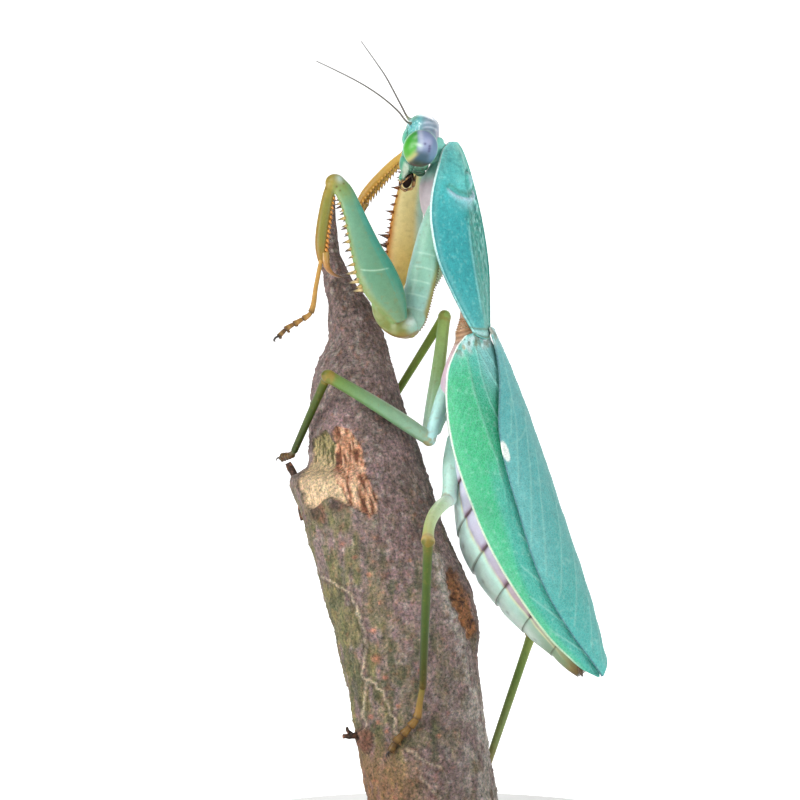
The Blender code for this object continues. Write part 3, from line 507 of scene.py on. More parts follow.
def buildBranch():
    rings, turn = branchRings()
    c = {key: tone(code) for key, code in branch["tones"].items()}
    x, z = rings[..., 0], rings[..., 2]
    front = rise(-np.sin(turn), -0.05, 0.35)  # 1 on the side that faces the viewer
    wobble = np.stack([x + 0.6 * (grain(rings, 1.0, 1) - 0.5), z + 0.8 * (grain(rings, 1.2, 2) - 0.5)])
    bare = insideShape(*wobble, branch["bareWood"], 0.18) * front
    torn = insideShape(*wobble, branch["tornBark"], 0.18) * front
    scar = insideShape(x + 1.1 * (grain(rings, 0.9, 3) - 0.5), z + 1.4 * (grain(rings, 1.3, 4) - 0.5),
                       branch["scar"], 0.4) * front
    fibre = grain(rings + np.stack([z * 0.22, z * 0, z * 0], -1), (0.34, 0.6, 1.9), 5)
    fine = grain(rings, 0.36, 11)
    lines = np.full(x.shape, 9.0)
    for path in branch["cracks"]:
        lines = np.minimum(lines, polyline(x + 0.7 * (grain(rings, 1.0, 6) - 0.5),
                z + 0.7 * (grain(rings, 1.0, 7) - 0.5), path)[0])
    crack = bell(lines, 0, 0.2) * front
    ridge = bell(polyline(x + 0.5 * (grain(rings, 2.0, 7) - 0.5), z, branch["ridge"])[0], 0, 0.9) * front
    pits = rise(grain(rings, 0.5, 8), 0.75, 0.95)
    out = 0.34 * (grain(rings, 2.4, 9) - 0.5) + 0.3 * (grain(rings, 0.9, 10) - 0.5) + 0.26 * (fine - 0.5)
    out = out * (1 - 0.85 * bare) + 0.12 * crack + 0.12 * pits + 0.35 * ridge
    pitted = 0.3 - 0.9 * (grain(rings, 0.6, 12) - 0.5)
    out = out - 0.5 * bare - 0.4 * torn + torn * 0.7 * (fibre - 0.5) - scar * pitted
    out = out + bare * 0.25 * (grain(rings, (0.3, 0.3, 1.6), 23) - 0.5) * rise(z, 57, 62)
    rim = (bell(bare, 0.4, 0.3) + bell(torn, 0.4, 0.25)) * front
    out = out + 0.16 * rim
    splinter = rise(z, 88, 104)
    out = out * (1 - splinter) + splinter * 0.5 * (grain(rings, (0.5, 0.5, 2.5), 13) - 0.5)
    knotMask, bumpMask = 0, 0
    for kx, kz, size, lift in branch["knots"]:
        d = np.hypot(x - kx + 0.3 * (grain(rings, 0.6, 24) - 0.5), z - kz)
        mask = rise(bell(d, 0, size) * front, 0.15, 0.7)
        out = out + lift * (mask - 0.8 * bell(d, 0, size * 0.4) * front)
        knotMask = np.maximum(knotMask, mask)
    for bx, bz, size in branch["bumps"]:
        mask = rise(bell(np.hypot(x - bx, z - bz), 0, size) * front, 0.1, 0.7)
        out = out + 0.45 * size * mask
        bumpMask = np.maximum(bumpMask, mask)
    fx, fz, fw, fh = branch["flake"]
    wander = 0.25 * (grain(rings, 0.5, 30) - 0.5)
    flake = rise(1 - np.hypot((x - fx + wander) / fw, (z - fz) / fh), 0, 0.3) * front
    out = out + 0.4 * flake
    nx, ny = np.cos(turn), np.sin(turn)
    rings = rings + np.stack([nx * out, ny * out, np.zeros_like(out)], axis=-1)
    big, mid = grain(rings, 5.0, 14), grain(rings, (1.3, 1.3, 1.8), 15)
    tint = toward(even(branch["tones"]["bark"], rings.shape), c["mauve"], rise(big, 0.4, 0.7))
    across = rise(0.15 - nx, 0, 0.7)  # 1 on the left flank
    moss = rise(64 - z, 0, 14) * (0.85 * across * rise(grain(rings, (1.2, 1.2, 3.0), 17), 0.25, 0.6)
                                  + 0.35 * rise(grain(rings, (1.4, 1.4, 2.4), 25), 0.55, 0.75))
    dust = rise(34 - z, 0, 16) * rise(nx, 0.35, 0.85) * rise(grain(rings, (1.2, 1.2, 2.5), 28), 0.3, 0.6)
    streaks = grain(rings, (0.3, 0.3, 1.6), 23)
    woody = toward(along(z, "54 cbb08e, 60 baa382, 64 9f9167, 67 7f7650"), tone("454428"),
                   0.85 * rise(streaks, 0.48, 0.66) * rise(z, 59, 63) + 0.15 * rise(streaks, 0.55, 0.8))
    shreds = toward(even(branch["tones"]["torn"], rings.shape), c["tornPale"], rise(fibre, 0.45, 0.7))
    shreds = toward(shreds, c["tornDark"], 0.92 * rise(0.39 - fibre, 0, 0.08))
    oval = blot(x, z, (-12.6, 57.9), (0.45, 1.6))
    rough = toward(even(branch["tones"]["scar"], rings.shape), c["scarDark"],
                   rise(grain(rings, 0.5, 19), 0.5, 0.72) + rise(z, 43, 46))
    tint = layered(tint, (
        (c["dark"], 0.4 * rise(mid, 0.55, 0.85) + 0.3 * rise(z, 74, 90)),
        (c["pale"], 0.4 * rise(grain(rings, 0.7, 16), 0.62, 0.85)),
        (c["algae"], moss),
        (c["yellow"], 0.5 * moss * rise(grain(rings, (0.5, 0.5, 1.5), 26), 0.5, 0.75) * rise(50 - z, 0, 10)),
        (c["deepGreen"], 0.7 * rise(grain(rings, (1.3, 1.3, 1.9), 27), 0.55, 0.75) * rise(56 - z, 0, 12)
         * rise(0.75 - nx, 0, 0.6)),
        (c["rust"], 0.35 * rise(grain(rings, 0.6, 18), 0.72, 0.85) + 0.5 * rise(22 - z, 0, 9) * across),
        (c["pale"], 0.75 * dust + 0.8 * ridge * rise(grain(rings, 0.6, 29), 0.3, 0.6)),
        (c["line"], 0.75 * crack),
        (c["dark"], 0.5 * bell(lines, 0.5, 0.25) * front),
        (c["bump"], 0.85 * bumpMask),
        (c["dark"], 0.75 * knotMask),
        (c["rust"], 0.5 * knotMask * rise(mid, 0.3, 0.6)),
        ("6d4a3a", 0.9 * flake),
        (c["dark"], 0.95 * bell(flake, 0.15, 0.2) * (flake > 0.001)),
        # painted highlight: a light upright streak on the left of the raised flake
        ("a07a66", 0.5 * bell(np.hypot((x - fx + 0.4) / 0.3, (z - fz - 0.3) / 1.2), 0, 1) * front),
        (woody, bare),
        (toward(shreds, c["cream"], oval), torn),
        (rough, 0.9 * scar),
        (c["pale"], 0.6 * bell(polyline(x, z, ((1.0, 47.0), (1.2, 42.5), (3.0, 36.5), (4.6, 33.8)))[0], 0, 0.5)
         * front * rise(grain(rings, 0.7, 31), 0.3, 0.5)),
        (c["dark"], 0.75 * rim * rise(grain(rings, 0.9, 20), 0.3, 0.5)),
        ("b49a78", rise(8.9 - z, 0, 0.4)),
    ))
    points, faces = loft(rings)
    bark = barkMaterial()
    full = np.vstack([tint.reshape(-1, 3), tone("b49a78"), c["dark"]])
    keep(newPiece("branch", points, faces, bark, full), "bark", "perch")
    buildTwigs(bark, c)


def taperedTube(path, radii, sides=14, flat=1.0, steps=None):  # a round tube through points, as rings
    path = np.asarray(path, float)
    run = np.concatenate([[0], np.cumsum(np.linalg.norm(np.diff(path, axis=0), axis=1))])
    at = np.linspace(0, run[-1], steps or 4 * len(path))
    centre = np.stack([flow(at, run, path[:, k]) for k in range(3)], axis=-1)
    size = flow(at, run, radii)
    ahead = np.gradient(centre, axis=0)
    ahead /= np.linalg.norm(ahead, axis=1)[:, None]
    hint = np.array([0.0, 1, 0]) if abs(ahead[:, 1]).mean() < 0.8 else np.array([0.0, 0, 1])
    u = np.cross(ahead, hint)
    u /= np.linalg.norm(u, axis=1)[:, None]
    v = np.cross(ahead, u)
    a = np.linspace(0, 2 * np.pi, sides, endpoint=False)
    around = u[:, None] * np.cos(a)[None, :, None] + flat * v[:, None] * np.sin(a)[None, :, None]
    return centre[:, None] + size[:, None, None] * around, at / run[-1]


def ball(centre, radii, turn=None, columns=28, rows=18):
    up = np.linspace(-np.pi / 2, np.pi / 2, rows + 2)[1:-1]
    round_ = np.linspace(0, 2 * np.pi, columns, endpoint=False)
    u, r = np.meshgrid(up, round_, indexing="ij")
    rings = np.stack([np.cos(u) * np.cos(r), np.cos(u) * np.sin(r), np.sin(u)], axis=-1) * radii
    if turn is not None:
        rings = rings @ np.array(turn).T
    return loft(rings + np.array(centre))


def join(name, shells, material, code, slot, *nodes):
    points, faces = gathered(shells)
    tint = np.broadcast_to(tone(code), points.shape) if isinstance(code, str) else code(points)
    return keep(newPiece(name, points, faces, material, tint), slot, *nodes)


def buildTwigs(bark, c):
    sliver, _ = taperedTube(((-20.2, 4.4, 53.0), (-21.2, 4.6, 56.2), (-21.9, 4.9, 58.6), (-22.7, 5.1, 60.4),
                             (-23.5, 5.2, 61.9)),
                            (1.2, 0.95, 0.75, 0.62, 0.55), 20, 0.45, 60)
    stub, _ = taperedTube(((-9.6, -3.2, 19.4), (-12.2, -4.4, 19.3), (-14.4, -5.5, 19.3)), (1.0, 0.6, 0.35), 14,
                          1.0, 30)
    fork, _ = taperedTube(((-12.9, -4.7, 19.3), (-13.6, -5.4, 20.1), (-13.8, -5.8, 20.7)), (0.4, 0.3, 0.2), 10,
                          1.0, 14)
    for name, rings in (("barkSliver", sliver), ("twigStub", stub), ("twigFork", fork)):
        bumps = 1 + 0.45 * (grain(rings, (0.5, 0.5, 1.2), 21) - 0.5)
        points, faces = loft(sized(rings, bumps))
        lump = grain(points, 0.7, 22)
        tint = toward(toward(even(branch["tones"]["dark"], points.shape), c["rust"], rise(lump, 0.4, 0.8)),
                      c["pale"], 0.6 * rise(lump, 0.2, 0.0))
        keep(newPiece(name, points, faces, bark, tint), "bark")


buildBranch()
print("branch ready")

trunk = {  # distance behind the wing hinge, depth under the wings' ridge, half width, half height
    "at": (-2.2, -1.0, 1.4, 3.9, 6.0, 9.5, 15.0, 20.5, 27.0, 32.5, 39.2, 45.0, 50.0, 53.5, 55.4),
    "deep": (3.4, 3.4, 4.4, 5.8, 6.6, 7.3, 7.9, 8.7, 9.7, 9.3, 8.1, 6.5, 5.1, 4.2, 3.7),
    "wide": (2.4, 3.3, 5.7, 6.5, 6.0, 5.3, 6.6, 7.8, 8.4, 8.3, 7.5, 6.1, 4.5, 3.1, 2.0),
    "tall": (1.7, 2.0, 2.9, 3.8, 4.2, 4.6, 5.2, 6.2, 6.8, 6.5, 5.3, 4.1, 2.6, 1.8, 1.2),
    "tilt": (0.0, 0.1, 0.2, 0.3, 0.4, 0.6, 0.6, 0.6, 0.6, 0.6, 0.6, 0.6, 0.6, 0.6, 0.6),
    "ends": (13.9, 19.8, 25.6, 32.0, 38.6, 44.5, 50.3, 55.4), "step": 0.045,
    "seam": ((9.0, 205), (18.0, 198), (22.0, 191), (27.9, 184), (32.8, 179), (44.0, 176), (55.4, 180)),
    "chestAt": (3.2, 5.0, 13.0, 17.5, 20.0, 23.0, 26.5, 28.6),
    "chestDeep": (2.4, 2.2, 2.9, 3.4, 4.0, 4.3, 4.0, 2.8),
    "chestWide": (1.9, 1.8, 2.2, 2.7, 2.9, 2.9, 2.4, 1.8),
    "chestTall": (1.45, 1.15, 1.8, 2.4, 3.1, 3.4, 3.0, 1.9),
    "sides": 120, "trunkRings": 460, "chestRings": 150, "bendRings": 26, "neckRings": 34,
}


def buildBody():
    sides, bendCount, neckCount = trunk["sides"], trunk["bendRings"], trunk["neckRings"]
    angle = np.linspace(0, 2 * np.pi, sides, endpoint=False)
    back = np.linspace(trunk["at"][-1], trunk["at"][0], trunk["trunkRings"])
    deep, wide, tall, tilt = (flow(back, trunk["at"], trunk[key]) for key in ("deep", "wide", "tall", "tilt"))
    ends = np.array(trunk["ends"])
    k = np.clip(np.searchsorted(ends, back, side="left"), 1, len(ends) - 1)
    part = np.clip((back - ends[k - 1]) / (ends[k] - ends[k - 1]), 0, 1)  # 0 at a plate's front, 1 at its rear
    on = rise(back, 13.0, 13.9)
    share = 1 - on * trunk["step"] * (1 - rise(part, 0.0, 0.32)) - on * 0.02 * bell(part, 0.0, 0.02)
    a, b = np.meshgrid(angle, back, indexing="xy")
    pleat = np.interp(b, [s for s, _ in trunk["seam"]], [np.radians(t) for _, t in trunk["seam"]])
    seamLeft, seamRight = a - pleat, a - (3 * np.pi - pleat)
    seams = np.minimum(abs(seamLeft), abs(seamRight))
    size = share[:, None] * (1 - 0.03 * on[:, None] * bell(seams, 0, 0.05))
    rise_ = tall[:, None] * size * np.sin(a)
    trunkRings = placed(np.stack([wide[:, None] * size * np.cos(a), rise_ * tilt[:, None] - b,
                                  rise_ - deep[:, None]], axis=-1), trunkPlace)
    fore = np.linspace(trunk["chestAt"][0], trunk["chestAt"][-1], trunk["chestRings"])
    low, broad, high = (flow(fore, trunk["chestAt"], trunk[key])[:, None]
                        for key in ("chestDeep", "chestWide", "chestTall"))
    chest = (broad * np.cos(angle), np.repeat(fore[:, None], sides, 1), high * np.sin(angle) - low)
    chestRings = placed(np.stack(chest, axis=-1), chestPlace)
    folds = 1 + 0.06 * np.sin(np.arange(bendCount) * 1.3)
    bend = [trunkRings[-1] * (1 - t) + chestRings[0] * t for t in np.linspace(0.05, 0.95, bendCount)]
    bend = [ring.mean(0) + (ring - ring.mean(0)) * f for ring, f in zip(bend, folds)]
    neckEnd = placed([(0, -1.2, 1.1)], skullPlace) + (chestRings[-1] - chestRings[-1].mean(0)) * 0.95
    neck = [chestRings[-1] * (1 - t) + neckEnd * t for t in np.linspace(0.03, 1, neckCount)]
    neck = [ring.mean(0) + (ring - ring.mean(0)) * (1 + 0.03 * math.sin(n * 0.9)) for n, ring in enumerate(neck)]
    rings = np.concatenate([trunkRings, bend, chestRings, neck])
    # pale green belly plates, lilac side plates, a cream line between them and wine-red joints
    belly = along(b,
                  "9 d6fbf6, 20 d2f8f1, 34 c6efe3, 42 aed4c5, 46 98b7a2, 50 8aa38a, 52.8 80906a, 54.2 7d7040, 55 69552c")
    belly = layered(belly, (
        ("dff2ea", 0.6 * bell(a, 3.55, 0.25) * rise(50 - b, 0, 4)),
        # painted shade: the belly plates darker towards the underside
        ("9fc0b2", 0.4 * rise(a, 4.0, 4.5) * on[:, None]),
        ("71867a", 0.6 * bell(np.hypot((part[:, None] - 0.45) / 0.07, (a - 3.6) / 0.05), 0, 1) * on[:, None]),
    ))
    flank = along(b, "9 c8c8d2, 22 cbccdf, 33 c0bcd2, 42 bba6ac, 48 b3b79c, 52.5 8d9468, 54 7d7040, 55 69552c")
    below = (a > pleat) & (a < 3 * np.pi - pleat)
    tint = np.where(below[..., None], belly, flank)
    joint = (bell(part, 0.0, 0.016) + bell(part, 1.0, 0.016)) * on
    sideways = np.where(below, 9.0, seams)
    wine = (bell(part, 1.0, 0.09) + bell(part, 0, 0.06))[:, None] * on[:, None]
    wine = wine * bell(sideways, 0.12, 0.2) * rise(50 - b, 0, 4)
    tint = layered(tint, (
        ("e3e2b4", 0.85 * bell(seams, 0, 0.022) * on[:, None] * rise(53 - b, 0, 3)),
        ("6e3c5a", 0.9 * wine),
        ("4c4a34", 0.85 * np.clip(joint, 0, 1)[:, None]),
        (along(b, "-2 b98f6c, -0.9 c6a286, 0 c9adb0, 4 c9b0bf, 6.5 c3afba, 9 c4d2cb"), rise(13 - b, 0, 3)),
        ("6b4a2e", 0.6 * (0.5 + 0.5 * np.sin(b * 9 + 1.5 * np.sin(a * 2))) * rise(0.3 - b, 0, 0.8)),
    ))
    lines = np.arange(bendCount)[:, None] * np.ones((bendCount, sides))
    bendTint = toward(along(lines, "0 cbaa88, 25 b8906c"), tone("7a5236"),
                      0.5 * (0.5 + 0.5 * np.sin(lines * 2.1)))
    f, _ = np.meshgrid(fore, angle, indexing="ij")
    chestTint = along(f, "3 b99a84, 6 b3b2b0, 16 b3a9ad, 25.5 b9aeb4, 27 8fbfb0, 28.6 79b9a9")
    neckTint = along(np.linspace(0, 1, neckCount)[:, None] * np.ones((neckCount, sides)),
                     "0 79b9a9, 0.5 7cc4b8, 1 6fb9aa")
    tints = np.concatenate([tint, bendTint, chestTint, neckTint])
    points, faces = loft(rings)
    full = np.vstack([tints.reshape(-1, 3), tints[0].mean(0), tints[-1].mean(0)])
    nodes = [f"abdomen_{n}" for n in range(1, 7)] + ["abdomen_tip", "thorax", "prothorax", "neck"]
    keep(newPiece("bodySkin", points, faces, cuticles["bodyCuticle"], full), "body_cuticle", *nodes)


buildBody()
print("body ready")

tail = {"root": (1.3, -51.0, -3.4), "tip": (2.3, -56.0, -3.0), "radius": 0.52, "rings": 9}


def buildTail():
    for side, node in ((1, "cercus_right"), (-1, "cercus_left")):
        root, tip = (np.array((tail[k][0] * side, *tail[k][1:])) for k in ("root", "tip"))
        sides = 16
        rings, t = taperedTube(placed((root, root * 0.5 + tip * 0.5, tip), trunkPlace), (1.0, 1.0, 1.0), sides,
                               0.8, 90)
        waists = 1 - 0.16 * abs(np.sin(np.pi * tail["rings"] * t)) ** 8
        size = tail["radius"] * flow(t, (0, 0.4, 0.8, 1), (0.75, 1.0, 0.75, 0.25)) * waists
        tint = ringTint(along(t, "0 7d6a3a, 0.6 6a4f2c, 1 3a2a1c"), sides)
        name = "tailFeelerRight" if side > 0 else "tailFeelerLeft"
        keep(newPiece(name, *loft(sized(rings, size)), cuticles["hornCuticle"], tint), "horn", node)


buildTail()
print("tail ready")

shield = {"length": 31.3, "thickness": 0.8, "fall": 0.25, "swell": 1.15, "keel": 0.16, "rim": 0.16,
          "at": (0.0, 1.2, 4.0, 7.0, 11.6, 16.0, 20.5, 24.5, 28.0, 30.3, 31.3),
          "half": (1.9, 2.7, 4.0, 5.3, 6.9, 7.4, 7.0, 5.7, 4.0, 2.6, 1.2),
          "groove": ((-3.4, 23.7), (-2.0, 22.6), (0.0, 22.1), (2.0, 22.6), (3.4, 23.7)),
          "along": "0 68b8b0, 3 45a5a4, 10 2a9a9e, 18 2c9ea3, 24 3cabaa, 29 64bcb6, 31.3 80c8c0"}


def buildShield():
    over = np.concatenate([-1 + 0.12 * np.linspace(0, 1, 12, endpoint=False) ** 1.5,
                           np.linspace(-0.88, 0.88, 130),
                           1 - 0.12 * np.linspace(1, 0, 13)[1:] ** 1.5])
    fore = shield["length"] * (0.5 - 0.5 * np.cos(np.linspace(0, np.pi, 300)))
    f, o = np.meshgrid(fore, over, indexing="ij")
    half = flow(f, shield["at"], shield["half"])
    teeth = np.clip(np.sin(2 * np.pi * f / 0.5), 0, 1) * rise(f, 5, 8) * rise(24 - f, 0, 3)
    x = half * o + np.sign(o) * 0.07 * teeth * rise(abs(o), 0.975, 1)
    edge = half * (1 - abs(o))
    edge = np.minimum(edge, np.minimum(f, shield["length"] - f) * 0.8)
    spots = np.stack([x, f, 0 * x], axis=-1)
    top = 0.1 * np.exp(-(x / 1.3) ** 2) + shield["swell"] * np.exp(-((f - 24.5) / 6.0) ** 2 - (x / 4.5) ** 2)
    top = top - shield["fall"] * half * abs(o) ** 1.7
    groove, _ = polyline(x, f, shield["groove"])
    behind = rise(flow(x, [p[0] for p in shield["groove"]], [p[1] for p in shield["groove"]]) - f, -0.15, 0.15)
    inside = rise(4.2 - abs(x), 0, 1.0)
    top = top + shield["keel"] * bell(x, 0, 0.2) * rise(f, 1, 5) * rise(20.5 - f, 0, 2)
    top = top - 0.3 * bell(groove, 0, 0.4) * inside + 0.16 * bell(groove, 0.7, 0.4) * behind * inside
    top = top + 0.4 * bell(np.hypot(x / 2.4, (f - 25.4) / 2.6), 0, 0.9)
    crumple = (rise(x, -1.2, 0.8) * bell(f, 21.5, 6.5) + 0.35 * rise(x, 0, 2)) * rise(edge, 0.2, 1.6)
    top = top + 0.5 * crumple * (grain(spots, (0.7, 1.2, 1), 34) - 0.5)
    top = top + 0.25 * crumple * (grain(spots, (0.4, 0.6, 1), 35) - 0.5)
    top = top + shield["rim"] * bell(edge, 0.1, 0.12) - 0.08 * bell(edge, 0.6, 0.3)
    top = top + 0.05 * (grain(spots, 0.45, 31) - 0.5) + 0.1 * (grain(spots, 2.6, 32) - 0.5)
    thick = shield["thickness"] * (0.35 + 0.65 * rise(edge, 0.0, 1.0))
    knob = np.hypot((x - 0.8) / 1.0, (f - 24.6) / 1.5)
    top = top + 0.4 * bell(knob, 0, 0.8) - 0.3 * bell(knob, 1.2, 0.25)
    y = f - 0.8 * (1 - o * o) * rise(2.5 - f, 0, 2.5)  # the rear end is rounded
    upper = placed(np.stack([x, y, top], axis=-1), chestPlace)
    under = placed(np.stack([x, y, top - thick], axis=-1), chestPlace)
    face, border = sheet(*f.shape)
    lower = face[:, ::-1] + f.size
    wall = [[p, q, q + f.size, p + f.size] for p, q in border]
    tint = along(f, shield["along"])
    wrinkle = grain(spots, (0.4, 0.8, 1), 36)
    mottle = grain(spots, 0.4, 33)
    keelLine = rise(f, 2, 6) * rise(18 - f, 0, 2)
    margin = rise(0.11 - edge, 0, 0.07) * (0.35 + 0.65 * rise(f, 10, 16))
    tint = layered(tint, (
        (along(f, "0 62aa9c, 8 34907e, 19 2f8c7a, 25 4aa592, 31 6dbcae"), 0.85 * rise(x, -1.0, 1.2)),
        ("78c9bd", 0.5 * blot(x, f, (-0.6, 26), (2.6, 4))),
        ("36a3a8", 0.4 * bell(x / half, -0.55, 0.3)),
        ("26756a", 0.75 * crumple * rise(0.48 - wrinkle, 0, 0.15)),
        ("9ad8d2", 0.6 * crumple * rise(wrinkle, 0.56, 0.7)),
        ("26776a", 0.75 * blot(x, f, (0.9, 19.4), (1.7, 1.5))),
        ("8ad4cc", 0.3 * rise(mottle, 0.6, 0.9)),
        ("1f8086", 0.3 * rise(0.4 - mottle, 0, 0.2)),
        ("2f8474", 0.75 * bell(groove, 0.45, 0.3) * (1 - behind) * inside),
        ("b5d6e2", 0.95 * bell(groove, 0.45, 0.45) * behind * inside),
        ("8fc4cc", 0.55 * blot(x, f, (0.3, 21.0), (2.2, 0.8))),
        ("9ad8de", 0.75 * rise(1.0 - knob, 0, 0.5)),
        ("1f7066", 0.75 * bell(knob, 1.2, 0.2) * rise(x + 0.4, 0, 1)),
        ("8fcac6", 0.45 * bell(x, -0.15, 0.2) * keelLine),
        ("2d7a6d", 0.45 * bell(x, 0.35, 0.2) * keelLine),
        ("cfe6e2", 0.9 * margin * rise(f, 0.3, 3)),
        ("a9d6d2", 0.12 * bell(edge, 0.75, 0.4)),
        ("aed6d2", 0.8 * bell(f, 0.75, 0.3)),
        ("6d7f63", 0.8 * bell(f, 0.25, 0.2) + 0.7 * bell(f, 1.25, 0.15)),
    ))
    belly = toward(even("a3b5aa", tint.shape), tint, rise(1.2 - edge, 0, 1))
    points = np.vstack([upper.reshape(-1, 3), under.reshape(-1, 3)])
    full = np.vstack([tint.reshape(-1, 3), belly.reshape(-1, 3)])
    keep(newPiece("shieldPlate", points, face.tolist() + lower.tolist() + wall, cuticles["shieldCuticle"], full),
         "shield_cuticle", "pronotum")


buildShield()
print("shield ready")

wings = {  # distance behind the hinge, half width of the roof, and the edges' angles in degrees
    "start": -1.2, "length": 56.9, "roof": 0.8, "thickness": 0.42, "arcShare": 0.86, "mapMm": 60,
    "at": (-1.2, 0.0, 4.0, 12.0, 24.0, 37.0, 48.0, 56.3), "half": (5.4, 6.5, 8.8, 10.3, 10.6, 9.9, 7.5, 3.4),
    "costalAt": (-1.2, 0.0, 3.0, 15.0, 28.0, 43.0, 52.0, 54.6, 55.8, 56.4, 56.9),
    "costalLeft": (46, 60, 70, 80, 80, 71, 65, 61, 48, 36, 23),
    "costalRight": (30, 56, 70, 80, 80, 71, 62, 44, 17, -2, -18),
    "hindAt": (-1.2, 5.0, 15.0, 29.0, 40.0, 49.0, 53.0, 56.0, 56.9),
    "hindLeft": (12, 25, 27, 36, 40, 35, 18, -4, -17), "hindRight": (-14, 0, 27, 36, 40, 35, 30, 25, 22),
    "radial": ((0.8, 40), (4.4, 38), (9.1, 38), (14.8, 37), (18.8, 36), (24.9, 40), (28.0, 44), (35.0, 56),
               (42.3, 63), (47.5, 55)),
    "branches": (((14.5, 12), (20, -2), (33, -35)), ((19.5, 12), (27, -6), (38.7, -33)),
                 ((25, 24), (30, 14), (41.5, -23), (42.6, -30)), ((31, 42), (38, 15), (47.7, -26)),
                 ((36, 52), (44, 20), (52, -14)), ((41, 60), (49, 22), (54.6, 0)), ((7, 8), (14, -3), (24, -27)),
                 ((2, 20), (9, 6), (16, -16)), ((1, 10), (6, -4), (12, -22)), ((47, 58), (52, 30), (55.5, 8))),
    "claval": ((1.0, 24), (7, 26), (12.3, 22), (14.4, 15), (16.2, 5), (17.2, -7), (17.4, -20)),
}


def roofPoint(back, turn, sunk):
    half = flow(back, wings["at"], wings["half"])
    drop = half * wings["roof"]
    x, z = half * np.sin(turn), -drop * (1 - np.cos(turn))
    nx, nz = drop * np.sin(turn), half * np.cos(turn)
    size = np.hypot(nx, nz)
    return np.stack([x - nx / size * sunk, -back, z - nz / size * sunk], axis=-1)


def wingGrid(side, rows, columns, reach, costalShare=1.0, hindAt=None):
    share = (0.5 - 0.5 * np.cos(np.linspace(0, np.pi, rows))) * 0.6 + np.linspace(0, 1, rows) * 0.4
    b, q = np.meshgrid(wings["start"] + (reach - wings["start"]) * share, np.linspace(0, 1, columns),
                       indexing="ij")
    costal = flow(b, wings["costalAt"], wings["costalRight" if side > 0 else "costalLeft"])
    hind = -flow(b, wings["hindAt"], wings["hindRight" if side > 0 else "hindLeft"])
    if hindAt is not None:
        costal, hind = costal * costalShare + 2, np.full(b.shape, float(hindAt))
    turn = hind + (costal - hind) * q
    half = flow(b, wings["at"], wings["half"])
    arc = wings["arcShare"]  # the roof is flatter than a circle, so its arc is shorter
    return b, q, turn, half * np.radians(turn - hind) * arc, half * np.radians(costal - turn) * arc, half


def slab(name, upper, under, flip, material, tints, uv):
    n, m = upper.shape[:2]
    face, border = sheet(n, m)
    wall = np.array([[q + n * m, p + n * m, p, q] for p, q in border])
    faces = np.vstack([face, face[:, ::-1] + n * m, wall])
    if flip:
        faces = faces[:, ::-1]
    points = np.vstack([upper.reshape(-1, 3), under.reshape(-1, 3)])
    piece = newPiece(name, points, faces.tolist(), material, np.vstack([t.reshape(-1, 3) for t in tints]))
    layer = piece.data.uv_layers.new(name="wingMap")
    flat = np.vstack([uv.reshape(-1, 2)] * 2)
    corner = np.zeros(len(piece.data.loops), int)
    piece.data.loops.foreach_get("vertex_index", corner)
    layer.data.foreach_set("uv", flat[corner].ravel())
    return piece


def wingMaterial():
    # leathery forewing: waxy and dull, netted with fine veins that stand up a little
    made, tree, shader = newMaterial("leatheryWing", {"IOR": 1.48, "Specular IOR Level": 0.3, "Coat Weight": 0.06,
            "Coat Roughness": 0.35, "Sheen Weight": 0.08})
    where = addNode(tree, "ShaderNodeUVMap", {"uv_map": "wingMap"}).outputs[0]
    tint = paintOf(tree)
    # 60 mm of wing is one unit of the map, so this net has cells of about 0.5 mm
    net = addNode(tree, "ShaderNodeTexVoronoi", {"feature": "DISTANCE_TO_EDGE", "Scale": 125.0,
            "Randomness": 0.9}, {"Vector": where})
    line = mapped(tree, net.outputs["Distance"], (1.0, 0.0), (0.0, 0.16))
    cloud = noise(tree, where, 55.0, 4.0).outputs["Fac"]
    speck = noise(tree, where, 260.0, 3.0, 0.7).outputs["Fac"]
    cloudShare = mapped(tree, cloud, (0.9, 1.1), (0.3, 0.7))
    speckShare = mapped(tree, speck, (0.84, 1.16), (0.35, 0.65))
    shade = shaded(tree, tint, cloudShare, speckShare)
    lineShare = addNode(tree, "ShaderNodeMath", {"operation": "MULTIPLY", 1: 0.22}, {0: line})
    netted = addNode(tree, "ShaderNodeMix", {"data_type": "RGBA", 7: (*tone("8ecdc2"), 1)},
                     {0: lineShare.outputs[0], 6: shade})
    gloss = mapped(tree, speck, (0.42, 0.62))
    height = addNode(tree, "ShaderNodeMath", {"operation": "MULTIPLY_ADD", 1: 0.7}, {0: line, 2: speck})
    finishLook(tree, shader, height.outputs[0], 0.7, 0.00012,
               {"Base Color": netted.outputs[2], "Roughness": gloss})
    return made


